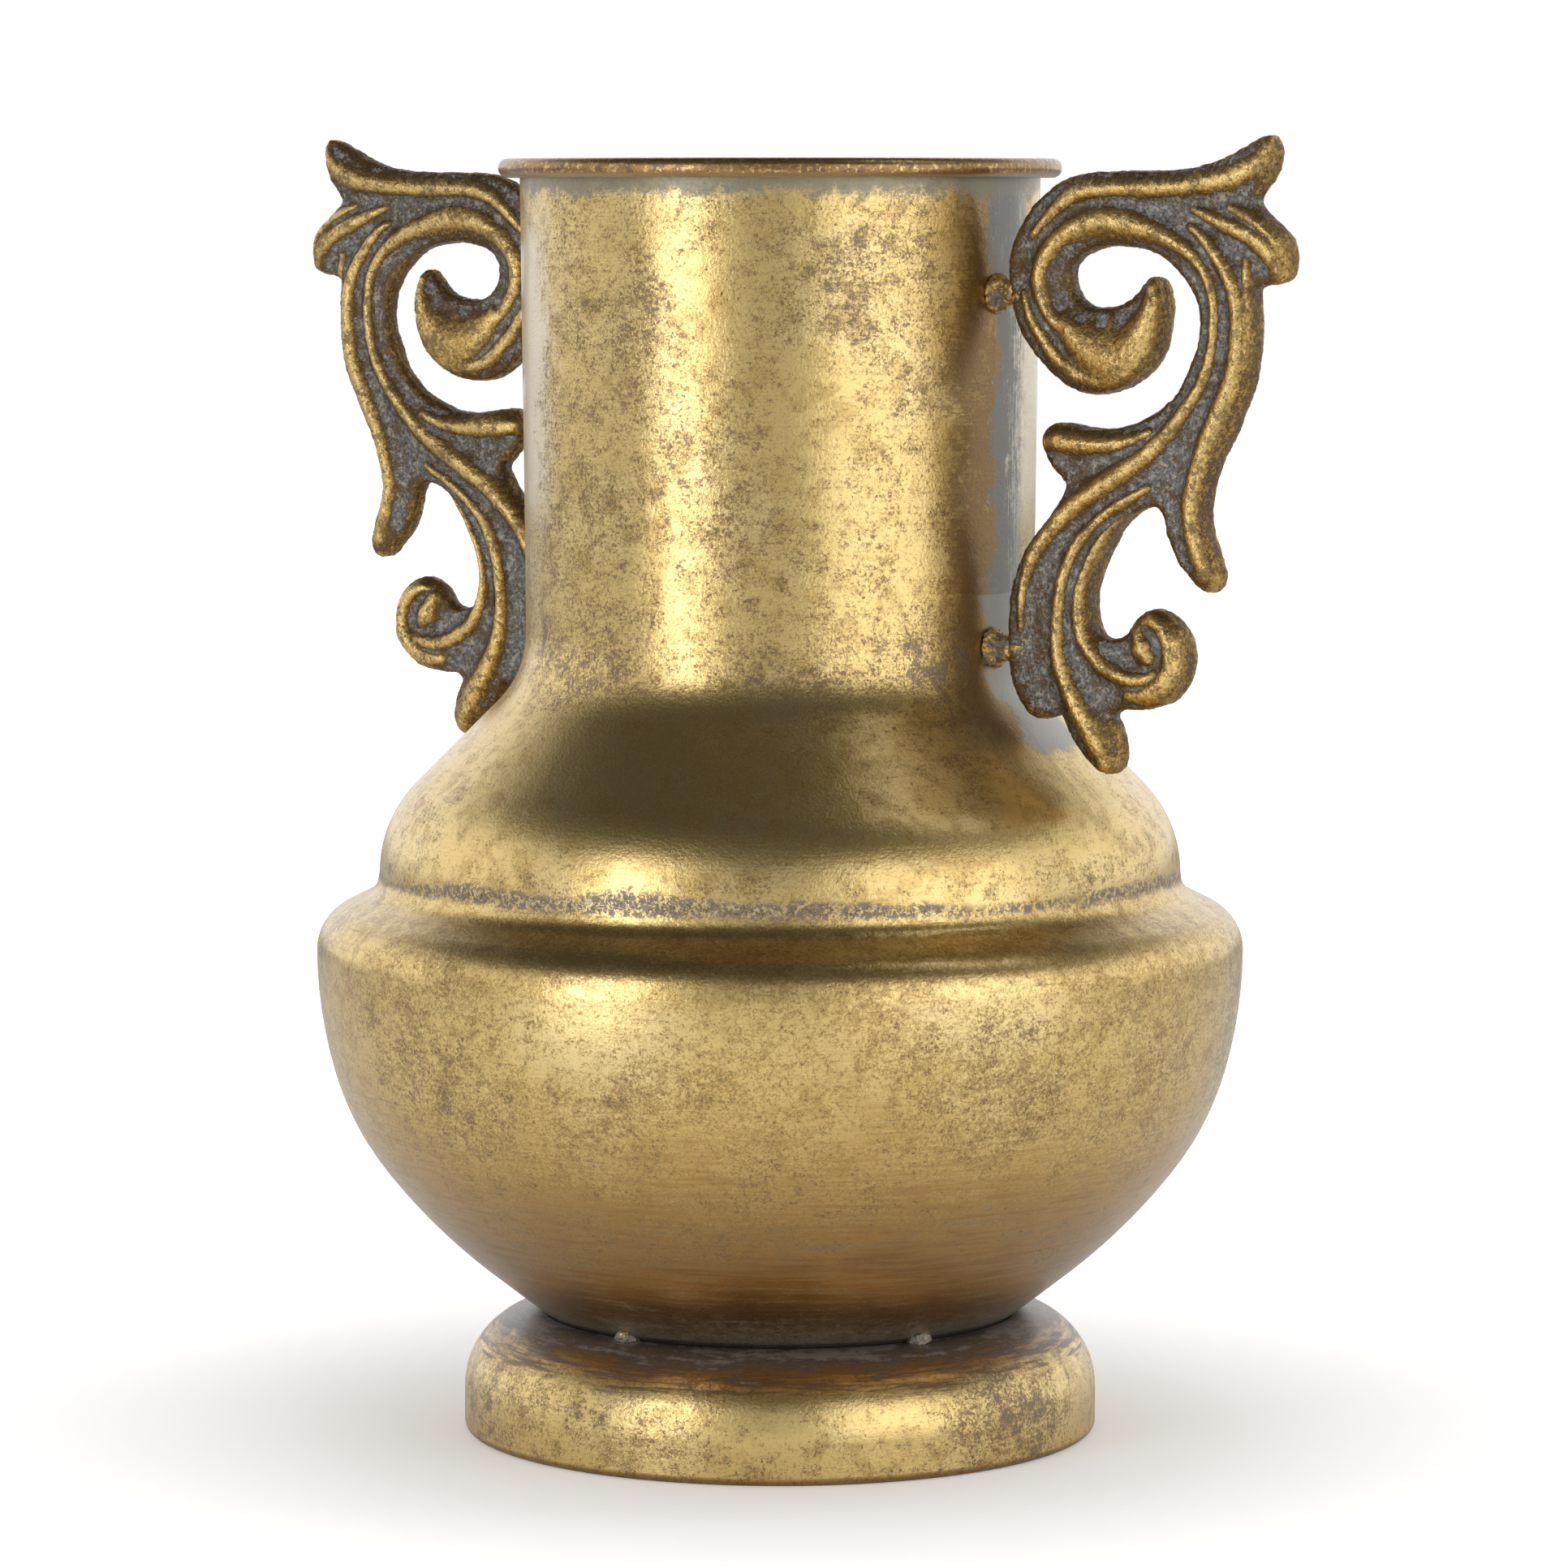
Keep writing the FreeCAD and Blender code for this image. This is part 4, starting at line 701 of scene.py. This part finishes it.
def curve_mesh(curve):
    """The mesh of a curve drawn flat in millimetres, stood upright in the handle's plane."""
    drawn = bpy.data.objects.new(curve.name, curve)
    mesh = bpy.data.meshes.new_from_object(drawn)
    bpy.data.objects.remove(drawn)
    bpy.data.curves.remove(curve)
    mesh.transform(Matrix.Rotation(math.radians(90.0), 4, "X") @ Matrix.Scale(MM, 4))
    return mesh


def web_mesh():
    """The flat web of the casting, with rounded edges."""
    curve = bpy.data.curves.new("web", "CURVE")
    curve.dimensions = "2D"
    curve.fill_mode = "BOTH"
    curve.resolution_u = 6
    curve.extrude = WEB_HALF - WEB_ROUND
    curve.bevel_depth = WEB_ROUND
    curve.bevel_resolution = 3
    curve.offset = -WEB_ROUND
    points = [(point, place == 0) for run in OUTLINE for place, point in enumerate(run[:-1])]
    points += [(OUTLINE[-1][-1], False)]
    spline = curve.splines.new("BEZIER")
    spline.bezier_points.add(len(points) - 1)
    spline.use_cyclic_u = True
    for knot, ((x, z), sharp) in zip(spline.bezier_points, points):
        knot.co = (x, z, 0.0)
        kind = "VECTOR" if sharp else "AUTO"
        knot.handle_left_type = knot.handle_right_type = kind
    return curve_mesh(curve)


def follow(points, step=0.4):
    """Points close together on a smooth line through the given ones."""
    ends = [points[0]] + points + [points[-1]]
    line = []
    for before, first, last, after in zip(ends, ends[1:], ends[2:], ends[3:]):
        count = max(2, int(math.dist(first[:2], last[:2]) / step))
        for place in range(count):
            t = place / count
            line.append([0.5 * (2.0 * b + (c - a) * t + (2.0 * a - 5.0 * b + 4.0 * c - d) * t ** 2
                                + (3.0 * b - a - 3.0 * c + d) * t ** 3)
                         for a, b, c, d in zip(before, first, last, after)])
    return line + [list(points[-1])]


def melt(mesh, grain):
    """A copy of a mesh with all its solids run together, in an even grain."""
    rough = bpy.data.objects.new("melting", mesh)
    scene.collection.objects.link(rough)
    remesh = rough.modifiers.new("melt", "REMESH")
    remesh.mode = "VOXEL"
    remesh.voxel_size = grain * MM
    bpy.context.view_layer.update()
    melted = bpy.data.meshes.new_from_object(rough.evaluated_get(bpy.context.evaluated_depsgraph_get()))
    bpy.data.objects.remove(rough)
    bpy.data.meshes.remove(mesh)
    return melted


def soften(bm, times):
    """Evens out the skin, the more the more often."""
    for _ in range(times):
        bmesh.ops.smooth_vert(bm, verts=bm.verts, factor=0.5,
                              use_axis_x=True, use_axis_y=True, use_axis_z=True)


def raise_relief(bm):
    """Thickens the web to the height of the ridges and domes, the same on both faces."""
    spots = [Vector((v.co.x / MM, v.co.z / MM, 0.0)) for v in bm.verts]
    heights = [VALLEY] * len(spots)
    for points in RIDGES.values():
        line = follow(points)
        tree = kdtree.KDTree(len(line))
        for place, (x, z, _, _) in enumerate(line):
            tree.insert((x, z, 0.0), place)
        tree.balance()
        low_x, low_z = (min(p[axis] for p in line) - RIDGE_REACH for axis in (0, 1))
        high_x, high_z = (max(p[axis] for p in line) + RIDGE_REACH for axis in (0, 1))
        for place, spot in enumerate(spots):
            if low_x < spot.x < high_x and low_z < spot.y < high_z:
                _, nearest, apart = tree.find(spot)
                _, _, half, top = line[nearest]
                share = apart / max(half, 0.3)
                if share < RIDGE_END:
                    rise = VALLEY + (top - VALLEY) * math.exp(-RIDGE_FALL * share ** 2.0)
                    heights[place] = max(heights[place], rise)
    for v, height in zip(bm.verts, heights):
        v.co.y *= height / WEB_HALF


def rub_and_roughen(bm, seed):
    """Adds the unevenness of sand and returns how much gold each point carries.

    Gold stays on what is raised, on what stands proud of its surroundings, and a little on the sides.
    """
    bm.normal_update()
    crisp = [(v.co.copy(), v.normal.copy()) for v in bm.verts]
    soften(bm, 16)
    gilding = []
    for v, (co, normal) in zip(bm.verts, crisp):
        proud = (co - v.co).dot(normal) / MM
        lift = (abs(co.y) / MM - VALLEY) / (CREST - VALLEY)
        faced = abs(normal.y)
        raised = min(max((lift - 0.05) / 0.75, 0.0), 1.0)
        amount = 0.10 + 0.50 * raised * (0.4 + 0.6 * faced)
        amount += 1.9 * min(max(proud, -0.20), 0.28) + 0.18 * (1.0 - faced)
        gilding.append(min(max(amount, 0.0), 1.0))
        where = co / MM + Vector((seed, 0.0, 0.0))
        wander = noise.fractal(where * WANDER_RATE, 0.6, 2.0, 3) * WANDER
        sand = noise.fractal(where * SAND_RATE, 0.5, 2.0, 3) * SAND
        v.co = co + normal * (wander + sand) * MM
    return gilding


def cast_handle(side):
    """One casting: the web with its ridges on both faces, and a sandy skin."""
    mesh = melt(web_mesh(), CAST_GRAIN)
    bm = bmesh.new()
    bm.from_mesh(mesh)
    soften(bm, 2)
    raise_relief(bm)
    soften(bm, 3)
    gilding = rub_and_roughen(bm, 0.0 if side == "right" else 40.0)
    if side == "left":
        half_turn = Matrix.Rotation(math.pi, 3, "Z")
        bmesh.ops.rotate(bm, verts=bm.verts, cent=(0.0, 0.0, 0.0), matrix=half_turn)
    bm.to_mesh(mesh)
    bm.free()
    layer = mesh.attributes.new("gilding", "FLOAT", "POINT")
    layer.data.foreach_set("value", gilding)
    mesh.shade_smooth()
    mesh.name = "cast_handle_" + side
    handle = bpy.data.objects.new("cast_handle_" + side, mesh)
    scene.collection.objects.link(handle)
    return handle


# Welds

def weld_lump(name, nodes, grain, rough, swell=1.0):
    """Copies of turned parts run together into one lump of weld metal. grain and rough are in millimetres."""
    bm = bmesh.new()
    for node in nodes:
        bm.from_mesh(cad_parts[node].data)
    bmesh.ops.remove_doubles(bm, verts=bm.verts, dist=0.00001)
    middle = sum((v.co for v in bm.verts), Vector()) / len(bm.verts)
    bmesh.ops.scale(bm, verts=bm.verts, vec=(swell, swell, swell), space=Matrix.Translation(-middle))
    mesh = bpy.data.meshes.new(name)
    bm.to_mesh(mesh)
    bm.free()
    mesh = melt(mesh, grain)
    bm = bmesh.new()
    bm.from_mesh(mesh)
    soften(bm, 5)
    bm.normal_update()
    for v in bm.verts:
        lump = noise.fractal(v.co / MM * 0.45, 0.55, 2.0, 4)
        v.co += v.normal * lump * rough * MM
    bm.to_mesh(mesh)
    bm.free()
    mesh.shade_smooth()
    mesh.name = name
    piece = bpy.data.objects.new(name, mesh)
    scene.collection.objects.link(piece)
    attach(piece, "root")
    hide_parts(*nodes)
    return piece


# Assembly

def dress(node, finish):
    """Gives a part of the model its finish."""
    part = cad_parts[node]
    part.data.materials.clear()
    part.data.materials.append(finish)


set_up_camera()
light_the_room()
lay_floor()
add_softbox("left_softbox", bearing=-97.0, distance=0.85, low=0.0, high=0.72, width=0.26, radiance=2.7)
add_softbox("right_softbox", bearing=-11.0, distance=0.85, low=0.0, high=0.72, width=0.80, radiance=1.02)
add_strip_light("high_strip", bearing=28.0, distance=0.62, height=1.25, width=0.26, length=0.50, radiance=1.3)
hang_softbox("top_softbox", height=1.8, width=1.8, radiance=1.5)

dress("neck", neck_finish())
dress("shoulder", shoulder_finish())
dress("bowl", bowl_finish())
dress("foot", foot_finish())
dress("rim_wire", wire_finish())
weld_metal = weld_finish()
tack_metal = tack_finish()
for side in ("right", "left"):
    for level in ("upper", "lower"):
        nodes = ["%s_%s_%s" % (kind, level, side) for kind in ("stud", "weld")]
        lump = weld_lump("joint_%s_%s" % (level, side), nodes, grain=0.28, rough=0.50)
        lump.data.materials.append(weld_metal)
for node in list(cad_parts):
    if "tack" in node:
        lump = weld_lump("bead_of_" + node, [node], grain=0.20, rough=0.40, swell=1.25)
        lump.data.materials.append(tack_metal)
    elif node.endswith("seam_weld"):
        dress(node, tack_metal)

gilded_casting = casting_finish()
for side in ("right", "left"):
    handle = cast_handle(side)
    handle.data.materials.append(gilded_casting)
    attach(handle, "root")
    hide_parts("handle_" + side)

scene.view_settings.view_transform = "Standard"
